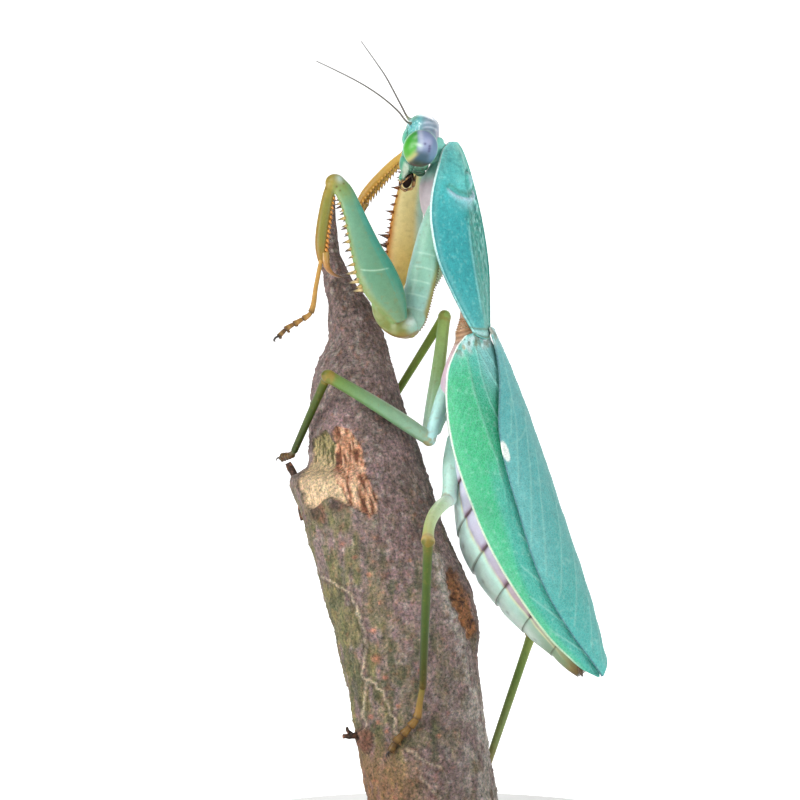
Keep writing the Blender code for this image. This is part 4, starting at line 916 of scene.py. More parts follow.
def buildForewing(side, node, sunk, material):
    b, _, turn, fromHind, fromCostal, half = wingGrid(side, 330, 120, wings["length"])
    edge = np.minimum(np.minimum(fromHind, fromCostal), np.minimum(b - wings["start"] + 0.4, wings["length"] - b))
    arc = wings["arcShare"]
    flatX, flatY = np.radians(turn) * half * arc, b
    ridge = np.zeros(b.shape)
    pale = np.zeros(b.shape)
    radialTurn = np.interp(b, [s for s, _ in wings["radial"]], [t for _, t in wings["radial"]])
    radial = (turn - radialTurn) * np.radians(half) * arc
    ridge += 0.1 * bell(radial, 0, 0.3) * rise(50 - b, 0, 6)
    for path in (*wings["branches"], wings["claval"]):
        flatPath = np.array([(np.radians(t) * np.interp(s, wings["at"], wings["half"]) * arc, s)
                             for s, t in path])
        stops = np.arange(len(path))
        bent = [[np.interp(u, stops, flatPath[:, k]) for k in (0, 1)] for u in np.linspace(0, len(path) - 1, 9)]
        away, _ = polyline(flatX, flatY, bent)
        inside = rise(radialTurn - turn, -4, 2)
        ridge += 0.09 * bell(away, 0, 0.17) * inside
        pale = np.maximum(pale, bell(away, 0, 0.16) * inside)
    costalVeins = bell((fromCostal + 0.55 * b) % 1.15, 0.575, 0.16)
    costalVeins = costalVeins * rise(radial, 0.5, 1.5) * rise(fromCostal, 0.5, 1.2)
    ridge += 0.035 * costalVeins * rise(20 - b, 0, 10)
    ridge += 0.12 * bell(fromCostal, 0.25, 0.3) + 0.05 * bell(fromHind, 0.15, 0.2)
    spots = np.stack([flatX, flatY, 0 * b], axis=-1)
    ridge += 0.07 * (grain(spots, 0.8, 41) - 0.5) + 0.16 * (grain(spots, 4.0, 42 + side) - 0.5)
    ridge += 0.07 * (grain(spots, (1.3, 0.4, 1), 44) - 0.5) * rise(24 - b, 0, 10)  # ripples across the root
    ridge += 0.3 * (grain(spots, (0.8, 1.2, 1), 45) - 0.4) * rise(2.2 - b, 0, 2.5) * rise(b, -1.2, -0.4)
    # the leading edge is rolled a little under, and the whole wing thins towards its margins
    rad = np.radians(turn) * side
    thick = wings["thickness"] * (0.4 + 0.6 * rise(edge, 0, 1.2))
    upper = placed(roofPoint(b, rad, sunk - ridge), trunkPlace)
    under = placed(roofPoint(b, rad, sunk + thick), trunkPlace)
    if side < 0:  # the left wing, which lies under the other
        tint = along(b, "-1 85cfbd, 1 56bd9d, 5 3dae7c, 15 37ae76, 30 3db07e, 42 42b48c, 50 4ab89f, 56 52b9ad")
        inner = rise(radial, 0.6, -1.0)  # 1 on the hind side of the radial vein
        lilac = rise(turn, 30, 12) * rise(12 - b, 0, 8)
        lap = flow(b, wings["hindAt"], wings["hindRight"])
        teal = rise(lap + 17 - turn, -5, 6) * rise(b, 16, 26)
        tint = layered(tint, (
            # painted highlight: a lighter green band just inside the white leading edge
            ("55b984", 0.6 * bell(fromCostal, 0.9, 1.3) * rise(b, 2, 8)),
            (along(b, "0 5cbcb4, 6 37a889, 12 259a6f, 22 2a9e79, 30 2ea180, 42 35aa8b, 56 42af9d"),
             inner * rise(b, -1, 3)),
            ("84c4c6", 0.8 * lilac),
            ("74b59c", 0.6 * bell(radial, 0, 0.2) * rise(30 - b, 0, 8)),
            ("46a79d", 0.75 * teal),
            ("2f8a68", 0.35 * costalVeins * rise(22 - b, 0, 10)),
        ))
    else:
        tint = along(b, "0 6fb5b9, 6 55adae, 18 4ba7a7, 30 46a5a2, 42 48a9a2, 50 4db1ab, 56 59bbb4")
        near = bell(turn, -30, 22) * rise(b, 10, 18) * rise(46 - b, 0, 12)
        stigma = rise(bell(np.hypot((turn + 27.5) / 4.0, (b - 18.1) / 1.75), 0, 1.0), 0.3, 0.5)
        # painted shadow: a dark line along the hind edge, where this wing lies over the other
        dark = bell(fromHind, 0.0, 0.16)
        tint = layered(tint, (
            ("78bdbd", 0.5 * near),
            ("3f9591", 0.45 * rise(turn, 0, 24) * rise(b, 4, 14)),
            ("42ae7c", rise(radial, -0.4, 0.8)),
            ("3e5f74", 0.85 * dark * rise(b, 0.5, 2)),
            ("f3f7f2", stigma),
        ))
    root = rise(2.6 - b, 0, 2.2)
    lumpsTint = toward(along(grain(spots, (0.7, 0.9, 1), 46), "0.25 66b0a4, 0.45 a0cfd0, 0.7 e0e4e8"),
                       tone("a98c5c"), 0.8 * rise(grain(spots, 0.8, 47), 0.66, 0.78))
    net = grain(spots, (0.42, 0.42, 1), 43)
    white = rise(0.5 - fromCostal, 0, 0.25) * rise(55.2 - b, 0, 3)
    tint = layered(tint, (
        (lumpsTint, 0.85 * root),
        ("5d6b52", 0.7 * root * rise(0.36 - grain(spots, (0.5, 0.8, 1), 48), 0, 0.06)),
        ("b5ddd2", 0.22 * rise(net, 0.6, 0.9)),
        ("2a766c", 0.25 * rise(0.4 - net, 0, 0.3)),
        ("92cabf", 0.5 * pale),
        (along(b, "0 eef4ea, 25 e6f0df, 45 d6e6c2, 56 a9d2b4"), 0.95 * white),
    ))
    inside = toward(tint, even("a9bfa0", tint.shape), 0.7 * rise(edge, 0.2, 1.0))
    uv = np.stack([flatX / wings["mapMm"] + 0.5, flatY / wings["mapMm"]], axis=-1)
    name = "forewingRight" if side > 0 else "forewingLeft"
    keep(slab(name, upper, under, side > 0, material, (tint, inside), uv), "wing_cuticle", node)


hindwing = {"reach": 54.0, "costalShare": 0.5, "hindAt": 3.0, "sunk": 1.62, "thickness": 0.3, "folds": 14}


def buildHindwing(side, node, material):
    sunk, thick, folds = hindwing["sunk"], hindwing["thickness"], hindwing["folds"]
    reach, costalShare, hindAt = hindwing["reach"], hindwing["costalShare"], hindwing["hindAt"]
    b, q, turn, _, _, half = wingGrid(side, 150, 44, reach, costalShare, hindAt)
    pleat = 0.1 * np.sin(q * folds * np.pi) * rise(b, 2, 10)
    rad = np.radians(turn) * side
    upper = placed(roofPoint(b, rad, sunk - pleat * 0.6), trunkPlace)
    under = placed(roofPoint(b, rad, sunk + thick - pleat * 0.6), trunkPlace)
    tint = along(b, "0 b9b37a, 30 a79a58, 50 6f5a32, 54 4a3520")
    tint = toward(tint, tone("5b4526"), 0.4 * (0.5 + 0.5 * np.cos(q * folds * np.pi)))
    uv = np.stack([np.radians(turn) * half / wings["mapMm"] + 0.5, b / wings["mapMm"]], axis=-1)
    keep(slab("hindwingRight" if side > 0 else "hindwingLeft", upper, under, side > 0, material, (tint, tint),
              uv), "wing_membrane", node)


leathery = wingMaterial()
buildForewing(1, "tegmen_right", 0.0, leathery)
buildForewing(-1, "tegmen_left", 0.8, leathery)
buildHindwing(1, "hindwing_right", leathery)
buildHindwing(-1, "hindwing_left", leathery)
print("wings ready")

# joints in millimetres; across points to the side that a segment folds to, bow lifts the middle of the thigh
limbs = {
    "foreLeft": {"hip": (0.4, 0.0, 102.4), "elbow": (-4.5, -4.0, 82.9), "hinge": (-5.7, -7.6, 84.4),
                 "knee": (-15.8, -5.0, 106.3), "ankle": (-17.9, -4.0, 94.0), "heel": (-19.5, -4.0, 85.8),
                 "toe": (-24.6, -5.0, 81.9), "across": (-1.0, 0.0, -0.2)},
    "foreRight": {"hip": (4.0, 6.6, 102.1), "elbow": (-5.8, 9.4, 84.8), "hinge": (-4.7, 13.0, 87.4),
                  "knee": (-4.1, 14.0, 112.2), "ankle": (-12.4, 12.6, 103.5), "heel": (-13.2, 9.4, 96.2),
                  "toe": (-9.8, 8.6, 91.2), "across": (-1.0, 0.0, 0.0)},
    "midLeft": {"hip": (2.7, 2.2, 76.3), "elbow": (-0.9, -2.2, 65.8), "hinge": (-0.9, -2.2, 65.8),
                "knee": (-16.9, -5.4, 75.8), "ankle": (-22.4, 3.4, 63.9), "heel": (-22.9, 4.6, 63.2),
                "toe": (-24.6, 7.2, 62.6), "across": (0.0, 0.0, -1.0), "bow": (0, 0, 0.3)},
    "midRight": {"hip": (4.2, 7.0, 76.2), "elbow": (0.0, 6.0, 67.2), "hinge": (-0.9, 8.6, 67.0),
                 "knee": (1.8, 13.6, 85.8), "ankle": (-7.0, 13.4, 71.6), "heel": (-8.8, 14.2, 68.8),
                 "toe": (-11.6, 14.9, 64.6), "across": (-1.0, 0.0, 0.0), "bow": (0.2, 0, 0)},
    "hindLeft": {"hip": (3.2, 3.4, 65.8), "elbow": (2.2, -1.5, 56.2), "hinge": (2.2, -1.5, 56.2),
                 "knee": (-1.3, -23.5, 50.8), "ankle": (-2.0, -13.0, 27.8), "heel": (-2.9, -11.8, 23.0),
                 "toe": (-7.0, -10.6, 17.6), "across": (-1.0, 0.0, 0.0), "bow": (-0.9, 0, 0.5)},
    "hindRight": {"hip": (5.4, 8.0, 66.4), "elbow": (5.0, 12.9, 55.6), "hinge": (5.0, 12.9, 55.6),
                  "knee": (16.2, 16.0, 33.5), "ankle": (8.3, 5.2, 12.6), "heel": (6.2, 7.0, 10.9),
                  "toe": (0.9, 9.1, 12.6), "across": (-1.0, 0.0, 0.0)},
}
# share of the length, reach on the folding side, reach on the other; then thickness as a share of width
segments = {
    "fore": {"coxa": (((0, 1.5, 1.7), (0.2, 2.0, 2.3), (0.5, 2.1, 2.6), (0.75, 2.1, 2.4), (0.9, 3.6, 2.1),
                       (1, 3.9, 1.4)), 0.6),
             "femur": (((0, 0.8, 1.5), (0.1, 1.9, 2.4), (0.2, 2.9, 2.9), (0.35, 3.3, 3.0), (0.5, 2.9, 2.8),
                        (0.65, 2.3, 2.6), (0.8, 1.5, 2.7), (0.92, 0.9, 2.6), (1, 0.8, 1.9)), 0.5),
             "tibia": (((0, 0.5, 1.1), (0.2, 0.4, 1.5), (0.5, 0.4, 1.65), (0.75, 0.5, 1.5), (0.9, 0.6, 1.1),
                        (1, 0.9, 0.6)), 0.75)},
    "foreLeft": {"coxa": (((0, 1.5, 1.7), (0.2, 2.0, 2.3), (0.5, 2.1, 2.6), (0.75, 2.1, 2.7), (0.9, 3.6, 2.6),
                           (1, 3.9, 1.9)), 0.6),
                 "femur": (((0, 0.8, 1.5), (0.1, 1.9, 2.4), (0.2, 2.9, 2.9), (0.35, 3.2, 2.9), (0.5, 2.5, 2.45),
                            (0.65, 1.6, 2.3), (0.8, 0.8, 2.25), (0.92, 0.7, 2.1), (1, 0.8, 1.5)), 0.5)},
    "mid": {"coxa": (((0, 1.1, 1.1), (0.4, 1.3, 1.3), (0.85, 1.1, 1.1), (1, 1.2, 1.2)), 0.85),
            "femur": (((0, 1.0, 1.0), (0.1, 1.15, 1.15), (0.3, 1.2, 1.2), (0.7, 1.05, 1.05), (0.92, 1.0, 1.0),
                       (1, 1.1, 1.1)), 0.9),
            "tibia": (((0, 0.85, 0.9), (0.12, 0.76, 0.76), (0.5, 0.68, 0.68), (1, 0.6, 0.6)), 0.9)},
    "hind": {"coxa": (((0, 1.2, 1.2), (0.4, 1.5, 1.5), (0.85, 1.15, 1.15), (1, 1.3, 1.3)), 0.85),
             "femur": (((0, 1.0, 1.0), (0.12, 1.1, 1.1), (0.3, 1.05, 1.05), (0.7, 0.88, 0.88), (0.92, 0.92, 0.92),
                        (1, 1.1, 1.1)), 0.9),
             "tibia": (((0, 0.85, 0.9), (0.12, 0.73, 0.73), (0.5, 0.68, 0.68), (1, 0.6, 0.6)), 0.95)},
}
coats = {  # runs of share and colour down each segment: folding edge, middle, outer edge
    "foreLeft": {"coxa": ("0 9ac2b0, 0.6 a4c8bf, 0.85 9ec2be, 1 90a367",
                          "0 8cbaa3, 0.6 88b7a2, 0.85 8bb5ab, 1 8b985c",
                          "0 7aac8f, 0.4 86a67c, 0.6 928c53, 1 88814b"),
                 "femur": ("0 727f4e, 0.3 7a8953, 0.8 739161, 1 81843f",
                           "0 617f5f, 0.3 5a866a, 0.8 618e72, 0.93 73894f, 1 85833d",
                           "0 498067, 0.3 3d8873, 0.75 439181, 0.93 6b8e61, 1 7e8443"),
                 "tibia": ("0 8e7a2d, 0.4 956e2c, 1 905a21", "0 8f7d32, 0.3 777736, 0.75 78722e, 1 866626",
                           "0 8a762f, 0.4 847029, 1 876326")},
    "foreRight": {"coxa": ("0 cfc69a, 1 c6bb87", "0 adc9aa, 1 a1b076", "0 98c1aa, 1 a19a5e"),
                  "femur": ("0 ac8742, 0.3 b1803c, 0.46 98571a, 0.6 a97631, 1 ac9553",
                            "0 ae9955, 0.3 bea25f, 0.5 c4b075, 0.8 c2b57e, 1 ac9f5d",
                            # painted highlight: the far thigh's outer edge runs to a pale blue-green strip
                            "0 a5b79f, 0.5 afcbc1, 1 88b697"),
                  "tibia": ("0 d3ba6f, 1 b48e48", "0 caa550, 1 a57935", "0 c4a252, 1 ac8741")},
    "midLeft": {"coxa": ("0 afd5c5, 1 acd9d7",) * 3,
                "femur": ("0 708d73, 0.5 5b7f54, 0.9 536d2c, 1 6d6126",
                          "0 7f9e89, 0.5 6c906d, 0.9 62803f, 1 75712f",
                          "0 8aa48c, 0.5 7d9b77, 0.9 708950, 1 7b7a38"),
                "tibia": ("0 414a09, 0.5 2a3904, 1 252f02", "0 48510a, 0.5 364707, 1 2d3903",
                          "0 48510a, 0.5 3c4e0a, 1 313e04")},
    "midRight": {"coxa": ("0 a9cdb8, 1 a9d0c6",) * 3,
                 "femur": ("0 cff3e6, 0.5 b4d89f, 1 9cb868", "0 c3ead2, 0.5 a4c986, 1 9cb663",
                           "0 a9ce9f, 0.5 91ab63, 1 899e54"),
                 "tibia": ("0 849942, 1 718638",) * 3},
    "hindLeft": {"coxa": ("0 a6d3c4, 1 b7ddd0", "0 a6d3c4, 1 bfe2d6", "0 b5dccf, 1 cfe8dd"),
                 "femur": ("0 b9d9cd, 0.3 a3c290, 0.9 a3ad64, 1 a88c51",
                           "0 d0e9dd, 0.3 bdd4a3, 0.9 b3ba73, 1 b5a164",
                           "0 dbf1ea, 0.3 c9deb6, 0.9 bcc385, 1 b9aa71"),
                 "tibia": ("0 505412, 0.15 354709, 0.6 2a3d07, 0.9 2f3306, 1 423309",
                           "0 585a16, 0.15 3f5410, 0.6 35480c, 0.9 3a3d09, 1 4a3c0d",
                           "0 585a16, 0.15 435712, 0.6 394d0f, 1 4a3c0d")},
    "hindRight": {"coxa": ("0 a6cbb4, 1 a6cbb4",) * 3,
                  "femur": ("0 9bbf9a, 1 86a058",) * 3,
                  "tibia": ("0 97a257, 0.3 758c46, 0.8 7f8c53, 1 847042",) * 3},
}
plain = {"coxa": (30, 40), "femur": (30, 60), "tibia": (30, 60)}  # points round each ring, and rings
fineness = {"fore": {"coxa": (44, 60), "femur": (44, 70), "tibia": (30, 44)}, "mid": plain, "hind": plain}
cups = {  # the short joint between coxa and thigh: points and radii, from the outside in
    "foreLeft": ((-9.3, -6.9, 87.4, 0.8), (-8.3, -6.6, 85.7, 1.5), (-6.9, -5.9, 84.3, 1.85),
                 (-5.2, -5.0, 83.7, 2.0), (-3.7, -4.3, 84.4, 2.0)),
    "foreRight": ((-8.6, 12.6, 88.6, 0.8), (-7.6, 12.0, 87.2, 1.4), (-6.4, 11.2, 86.2, 1.7),
                  (-5.2, 10.2, 85.7, 1.9), (-4.7, 9.6, 86.0, 1.8)),
}


def segmentShape(start, end, across, edges, flat, bow, sides, steps):
    start, end = np.array(start, float), np.array(end, float)
    ahead = (end - start) / np.linalg.norm(end - start)
    inward = np.array(across, float) - ahead * (np.array(across, float) @ ahead)
    inward /= np.linalg.norm(inward)
    return {"start": start, "end": end, "ahead": ahead, "inward": inward, "side": np.cross(ahead, inward),
            "length": np.linalg.norm(end - start),
            "edges": edges, "flat": flat, "bow": np.array(bow, float), "sides": sides, "steps": steps}


def reach(shape, t):
    stations = [e[0] for e in shape["edges"]]
    return flow(t, stations, [e[1] for e in shape["edges"]]), flow(t, stations, [e[2] for e in shape["edges"]])


def midline(shape, t):
    inner, outer = reach(shape, t)
    return (shape["start"] + (shape["end"] - shape["start"]) * t[..., None]
            + shape["inward"] * ((inner - outer) / 2)[..., None]
            + shape["bow"] * (4 * t * (1 - t))[..., None])


def segmentShell(shape):
    t = np.linspace(0, 1, shape["steps"])
    inner, outer = reach(shape, t)
    half = (inner + outer) / 2
    centre = midline(shape, t)
    shrink = np.ones(len(t))
    for end, way in ((0, -1), (-1, 1)):
        dome = 0.8 * half[end] * shape["flat"]
        turns = np.radians((35, 62, 82))[::way]
        extra = centre[end] + shape["ahead"] * (way * dome * np.sin(turns))[:, None]
        ends = [half[end]] * 3
        if way < 0:
            centre, half, shrink = np.vstack([extra, centre]), np.r_[ends, half], np.r_[np.cos(turns), shrink]
        else:
            centre, half, shrink = np.vstack([centre, extra]), np.r_[half, ends], np.r_[shrink, np.cos(turns)]
    a = np.linspace(0, 2 * np.pi, shape["sides"], endpoint=False)
    around = shape["inward"] * np.cos(a)[:, None] + shape["side"] * shape["flat"] * np.sin(a)[:, None]
    rings = centre[:, None] + (half * shrink)[:, None, None] * around
    return loft(rings)


def localTo(shape, points):  # share of the length, place between the edges, and distance outside the segment
    t = (points - shape["start"]) @ shape["ahead"] / shape["length"]
    tc = np.clip(t, 0, 1)
    inner, outer = reach(shape, tc)
    half = (inner + outer) / 2
    off = points - midline(shape, tc)
    u, v = off @ shape["inward"] / half, off @ shape["side"] / (half * shape["flat"])
    beyond = np.hypot(np.maximum(np.hypot(u, v) - 1, 0) * half * shape["flat"], abs(t - tc) * shape["length"])
    return t, u, v, beyond


def limbShapes(name):
    at = {key: np.array(value, float) for key, value in limbs[name].items()}
    kind = "fore" if name.startswith("fore") else "mid" if name.startswith("mid") else "hind"
    sizes, shapes = {**segments[kind], **segments.get(name, {})}, {}
    for part, start, end in (("coxa", "hip", "elbow"), ("femur", "hinge", "knee"), ("tibia", "knee", "ankle")):
        folded = kind == "fore" and part == "tibia"  # a foreleg's shin folds back onto its thigh
        across = -at["across"] if folded else at["across"]
        bow = at.get("bow", (0, 0, 0)) if part == "femur" else (0, 0, 0)
        shapes[part] = segmentShape(at[start], at[end], across, *sizes[part], bow, *fineness[kind][part])
    return shapes, at, kind


def coatOf(name, shapes, points):
    total, weights = np.zeros(points.shape), np.zeros(len(points))
    reachOuter = {"coxa": (0.62, 0.95), "femur": (0.3, 0.85), "tibia": (0.3, 0.85)}
    for part, shape in shapes.items():
        t, u, _, beyond = localTo(shape, points)
        edge, middle, outer = (along(t, stops) for stops in coats[name][part])
        colour = toward(toward(middle, edge, rise(u, 0.5, 0.95)), outer, rise(-u, *reachOuter[part]))
        weight = 1 / (beyond + 0.12) ** 4
        total += colour * weight[:, None]
        weights += weight
    return total / weights[:, None]


def buildLimb(name, node):
    shapes, at, kind = limbShapes(name)
    shells = [segmentShell(shape) for shape in shapes.values()]
    cup = None
    if kind == "fore":
        cup = np.array(cups[name])
        shells.append(loft(taperedTube(cup[:, :3], cup[:, 3], 24, 0.9, 40)[0]))
        shells.append(ball(at["knee"] + (0.1, 0, -0.2), (1.55, 1.0, 1.4)))
    else:
        for spot, size in ((at["knee"], 1.0), (at["hinge"], 1.12)):
            shells.append(ball(spot, (size, size * 0.95, size)))
    piece = merged(name + "Skin", shells, cuticles["legCuticle"], 0.11 if kind == "fore" else 0.1, 6)
    points = cornersOf(piece)
    tint = coatOf(name, shapes, points)
    if kind == "fore":
        away = np.min([np.linalg.norm(points - spot[:3], axis=1) / (spot[3] + 0.25) for spot in cup], axis=0)
        t, u, _, beyond = localTo(shapes["femur"], points)
        onFemur = rise(0.35 - beyond, 0, 0.3)
        cupTint = toward(even("6c7538", points.shape), tone("8c966c"), rise(grain(points, 1.2, 53), 0.4, 0.7))
        cupTint = layered(cupTint, (
            ("86ad9c", rise(points[:, 0], -4.9, -3.4) * (name == "foreLeft")),
            ("86703a", 0.8 * rise(83.1 - points[:, 2], 0, 1.1)),
        ))
        nx, _, nz = facing(piece).T
        left = (1 - onFemur) * (name == "foreLeft")
        # painted highlight: a pale spot on the near side of the joint between coxa and thigh
        shine = np.linalg.norm(points - cup[3, :3] - (1.4, -1.6, 0.6), axis=1)
        lower = rise(np.hypot(nx, nz), 0.8, 0.97) * rise(0.7 * nx - nz, 0.0, 0.5) * rise(1.5 - away, 0, 0.35)
        tint = layered(tint, (
            (cupTint, rise(1.12 - away, 0, 0.25) * (1 - onFemur)),
            ("76551f", 0.75 * lower * left),
            ("cfe0da", 0.7 * bell(shine, 0, 0.8) * left),
        ))
    if name == "foreLeft":
        on = onFemur * rise(0.98 - t, 0, 0.05)
        knee = np.linalg.norm(points - (at["knee"] + (1.1, -1.2, 0.6)), axis=1)
        tint = layered(tint, (
            ("b9d6bd", 0.5 * bell(t - 0.05 * u - 0.03 * u * u, 0.35, 0.005) * on * rise(0.75 - abs(u), 0, 0.2)),
            ("3f8f7e", 0.6 * bell(u + 0.12 * np.sin(t * 3.1), -0.42, 0.035) * on * rise(t, 0.05, 0.2)
             * rise(0.85 - t, 0, 0.1)),
            ("5f8f6a", 0.4 * bell(u, 0.12, 0.05) * on * rise(t, 0.62, 0.75)),
            ("6c8f55", 0.5 * rise(abs(u), 0.9, 1.0) * on),
            ("c3dbdc", 0.9 * bell(knee, 0, 0.75)),
        ))
        for dx, dz in ((0.4, -0.9), (-1.3, -1.2), (1.5, -0.4), (0.9, -1.5)):
            dot = np.hypot(points[:, 0] - at["knee"][0] - dx, points[:, 2] - at["knee"][2] - dz)
            tint = toward(tint, tone("54401f"), 0.8 * bell(dot, 0, 0.17) * (points[:, 1] < at["knee"][1]))
        t, u, _, beyond = localTo(shapes["coxa"], points)
        bands = bell((t * 9) % 1, 0.5, 0.07) * rise(t, 0.3, 0.4) * rise(0.9 - t, 0, 0.1)
        bands = bands * rise(0.8 - abs(u), 0, 0.3)
        tint = toward(tint, tone("c3e4d6"), 0.35 * bands * rise(0.6 - beyond, 0, 0.4))
    if kind != "fore":
        blotches = rise(grain(points, 0.7, 51), 0.45, 0.62)
        for spot, size in ((at["knee"], 1.15), (at["elbow"], 1.1)):
            near = np.linalg.norm(points - spot, axis=1)
            tint = toward(tint, tone("9c7434"), 0.45 * bell(near, size, 0.3) * blotches)
    tint = toward(tint, tone("7a6a34"), 0.2 * rise(grain(points, 0.5, 52), 0.72, 0.9))
    paint(piece, tint)
    nodes = [f"{node[0]}_{part}_{node[1]}" for part in ("coxa", "femur", "tibia")]
    keep(piece, "foreleg_cuticle" if kind == "fore" else "leg_cuticle", *nodes)
    return shapes, at, kind


def buildFoot(name, node, at, kind):
    radius = {"fore": 0.42, "mid": 0.56, "hind": 0.6}[kind]
    start = at["ankle"] + (0, -0.3, 0) if kind == "fore" else at["ankle"]
    path = [start, start * 0.5 + at["heel"] * 0.5, at["heel"],
            *[at["heel"] + (at["toe"] - at["heel"]) * t for t in (0.35, 0.7, 1)]]
    sag = np.cross(at["toe"] - at["heel"], (0, 1, 0))
    path[4] = path[4] + sag / np.linalg.norm(sag) * -0.25
    sides = 18
    rings, t = taperedTube(path, [1.0] * 6, sides, 0.85, 170)
    long, short = np.linalg.norm(at["heel"] - start), np.linalg.norm(at["toe"] - at["heel"])
    first = long / (long + short)
    share = np.where(t < first, t / first, ((t - first) / (1 - first) * 4) % 1)
    size = np.where(t < first, 0.82 + 0.38 * share ** 4, 0.78 + 0.45 * share ** 1.4)
    size *= 1 - 0.15 * rise(t, 0.9, 1.0)
    size *= 1 - 0.22 * bell(share, 0.0, 0.08) * (t > 0.03)
    rings = sized(rings, radius * size)
    tones = {"fore": "0 ab8440, 0.55 a17a3c, 0.8 7d5b2d, 1 3f2d18", "mid": "0 4f4c1e, 0.3 4a3517, 1 2b1e0d",
             "hind": "0 6b6024, 0.3 85652a, 0.6 6b4d20, 1 4a3414"}[kind]
    tint = toward(along(t, tones), tone("261a10"), 0.85 * bell(share, 0.0, 0.1) * (t > first * 0.9)
                  + 0.6 * bell(share, 1.0, 0.06))
    tint = toward(tint, tone("c39a5c" if kind == "fore" else "8a6a34"),
                  0.4 * bell(share, 0.6, 0.15) * (t > first))
    slot = "foreleg_cuticle" if kind == "fore" else "leg_cuticle"
    foot = newPiece(name + "Foot", *loft(rings), cuticles["legCuticle"], ringTint(tint, sides))
    keep(foot, slot, f"{node[0]}_tarsus_{node[1]}")
    ahead = (at["toe"] - at["heel"]) / short
    down = np.cross(ahead, np.cross(ahead, (0, 0, 1.0)))
    down = down / np.linalg.norm(down)
    aside = np.cross(ahead, down)
    pads = []
    for k in (1, 2, 3, 4):
        spot = at["heel"] + (at["toe"] - at["heel"]) * (k * 0.25 - 0.03) + down * radius * 0.75
        pads.append(ball(spot, (0.26, 0.26, 0.22), None, 14, 8))
    join(name + "Pads", pads, cuticles["hornCuticle"],
         {"fore": "5f4423", "mid": "4a3317", "hind": "6a4c26"}[kind], "leg_cuticle")
    hooks = []
    for way in (-1, 1):
        hook = [at["toe"] + ahead * x + aside * way * y + down * z
                for x, y, z in ((-0.2, 0.12, 0), (0.35, 0.35, -0.15), (0.8, 0.5, 0), (0.95, 0.55, 0.4))]
        hooks.append(loft(taperedTube(hook, (0.18, 0.15, 0.1, 0.02), 8, 1.0, 14)[0]))
    join(name + "Claws", hooks, cuticles["hornCuticle"], "241a12", "horn")


pairs = {"foreLeft": ("fore", "left"), "foreRight": ("fore", "right"), "midLeft": ("mid", "left"),
         "midRight": ("mid", "right"),
         "hindLeft": ("hind", "left"), "hindRight": ("hind", "right")}
builtLimbs = {}
for limbName, limbNode in pairs.items():
    builtLimbs[limbName] = buildLimb(limbName, limbNode)
    buildFoot(limbName, limbNode, *builtLimbs[limbName][1:])
print("limbs ready")


def spineTree():
    # one tapering spine on every point, leaning along "lean", scaled by "tall" and "stout"
    tree = bpy.data.node_groups.new("spinesOnPoints", "GeometryNodeTree")
    face = tree.interface
    face.new_socket("Geometry", in_out="INPUT", socket_type="NodeSocketGeometry")
    sockets = {}
    for key, label, kind in (("sides", "Sides", "Int"), ("steps", "Steps", "Int"),
                             ("blunt", "Blunt Tip", "Float"),
                             ("hook", "Hook", "Float"), ("finish", "Material", "Material")):
        sockets[key] = face.new_socket(label, in_out="INPUT", socket_type="NodeSocket" + kind).identifier
    face.new_socket("Geometry", in_out="OUTPUT", socket_type="NodeSocketGeometry")
    given, out = addNode(tree, "NodeGroupInput"), addNode(tree, "NodeGroupOutput")
    cone = addNode(tree, "GeometryNodeMeshCone", {"Radius Bottom": 1.0, "Depth": 1.0},
                   {"Vertices": given.outputs["Sides"], "Side Segments": given.outputs["Steps"],
                    "Radius Top": given.outputs["Blunt Tip"]})
    spot = addNode(tree, "GeometryNodeInputPosition")
    height = addNode(tree, "ShaderNodeSeparateXYZ", {}, {0: spot.outputs[0]})
    squared = addNode(tree, "ShaderNodeMath", {"operation": "MULTIPLY"},
                      {0: height.outputs["Z"], 1: height.outputs["Z"]})
    bend = addNode(tree, "ShaderNodeMath", {"operation": "MULTIPLY"},
                   {0: squared.outputs[0], 1: given.outputs["Hook"]})
    shift = addNode(tree, "ShaderNodeCombineXYZ", {}, {"X": bend.outputs[0]})
    bent = addNode(tree, "GeometryNodeSetPosition", {},
                   {"Geometry": cone.outputs["Mesh"], "Offset": shift.outputs[0]})
    mark = addNode(tree, "GeometryNodeStoreNamedAttribute",
                   {"data_type": "FLOAT", "domain": "POINT", "Name": "tipShare"},
                   {"Geometry": bent.outputs[0], "Value": height.outputs["Z"]})
    lean = addNode(tree, "GeometryNodeInputNamedAttribute", {"data_type": "FLOAT_VECTOR", "Name": "lean"})
    tall = addNode(tree, "GeometryNodeInputNamedAttribute", {"data_type": "FLOAT", "Name": "tall"})
    stout = addNode(tree, "GeometryNodeInputNamedAttribute", {"data_type": "FLOAT", "Name": "stout"})
    turn = addNode(tree, "FunctionNodeAlignRotationToVector", {"axis": "Z"}, {"Vector": lean.outputs[0]})
    size = addNode(tree, "ShaderNodeCombineXYZ", {}, {"X": stout.outputs[0], "Y": stout.outputs[0],
            "Z": tall.outputs[0]})
    spread = addNode(tree, "GeometryNodeInstanceOnPoints", {},
                     {"Points": given.outputs["Geometry"], "Instance": mark.outputs[0],
                                                                "Rotation": turn.outputs[0],
                                                                "Scale": size.outputs[0]})
    real = addNode(tree, "GeometryNodeRealizeInstances", {}, {0: spread.outputs[0]})
    dressed = addNode(tree, "GeometryNodeSetMaterial", {},
                      {0: real.outputs[0], "Material": given.outputs["Material"]})
    tree.links.new(dressed.outputs[0], out.inputs[0])
    return tree, sockets


spinesOnPoints, spineSockets = spineTree()


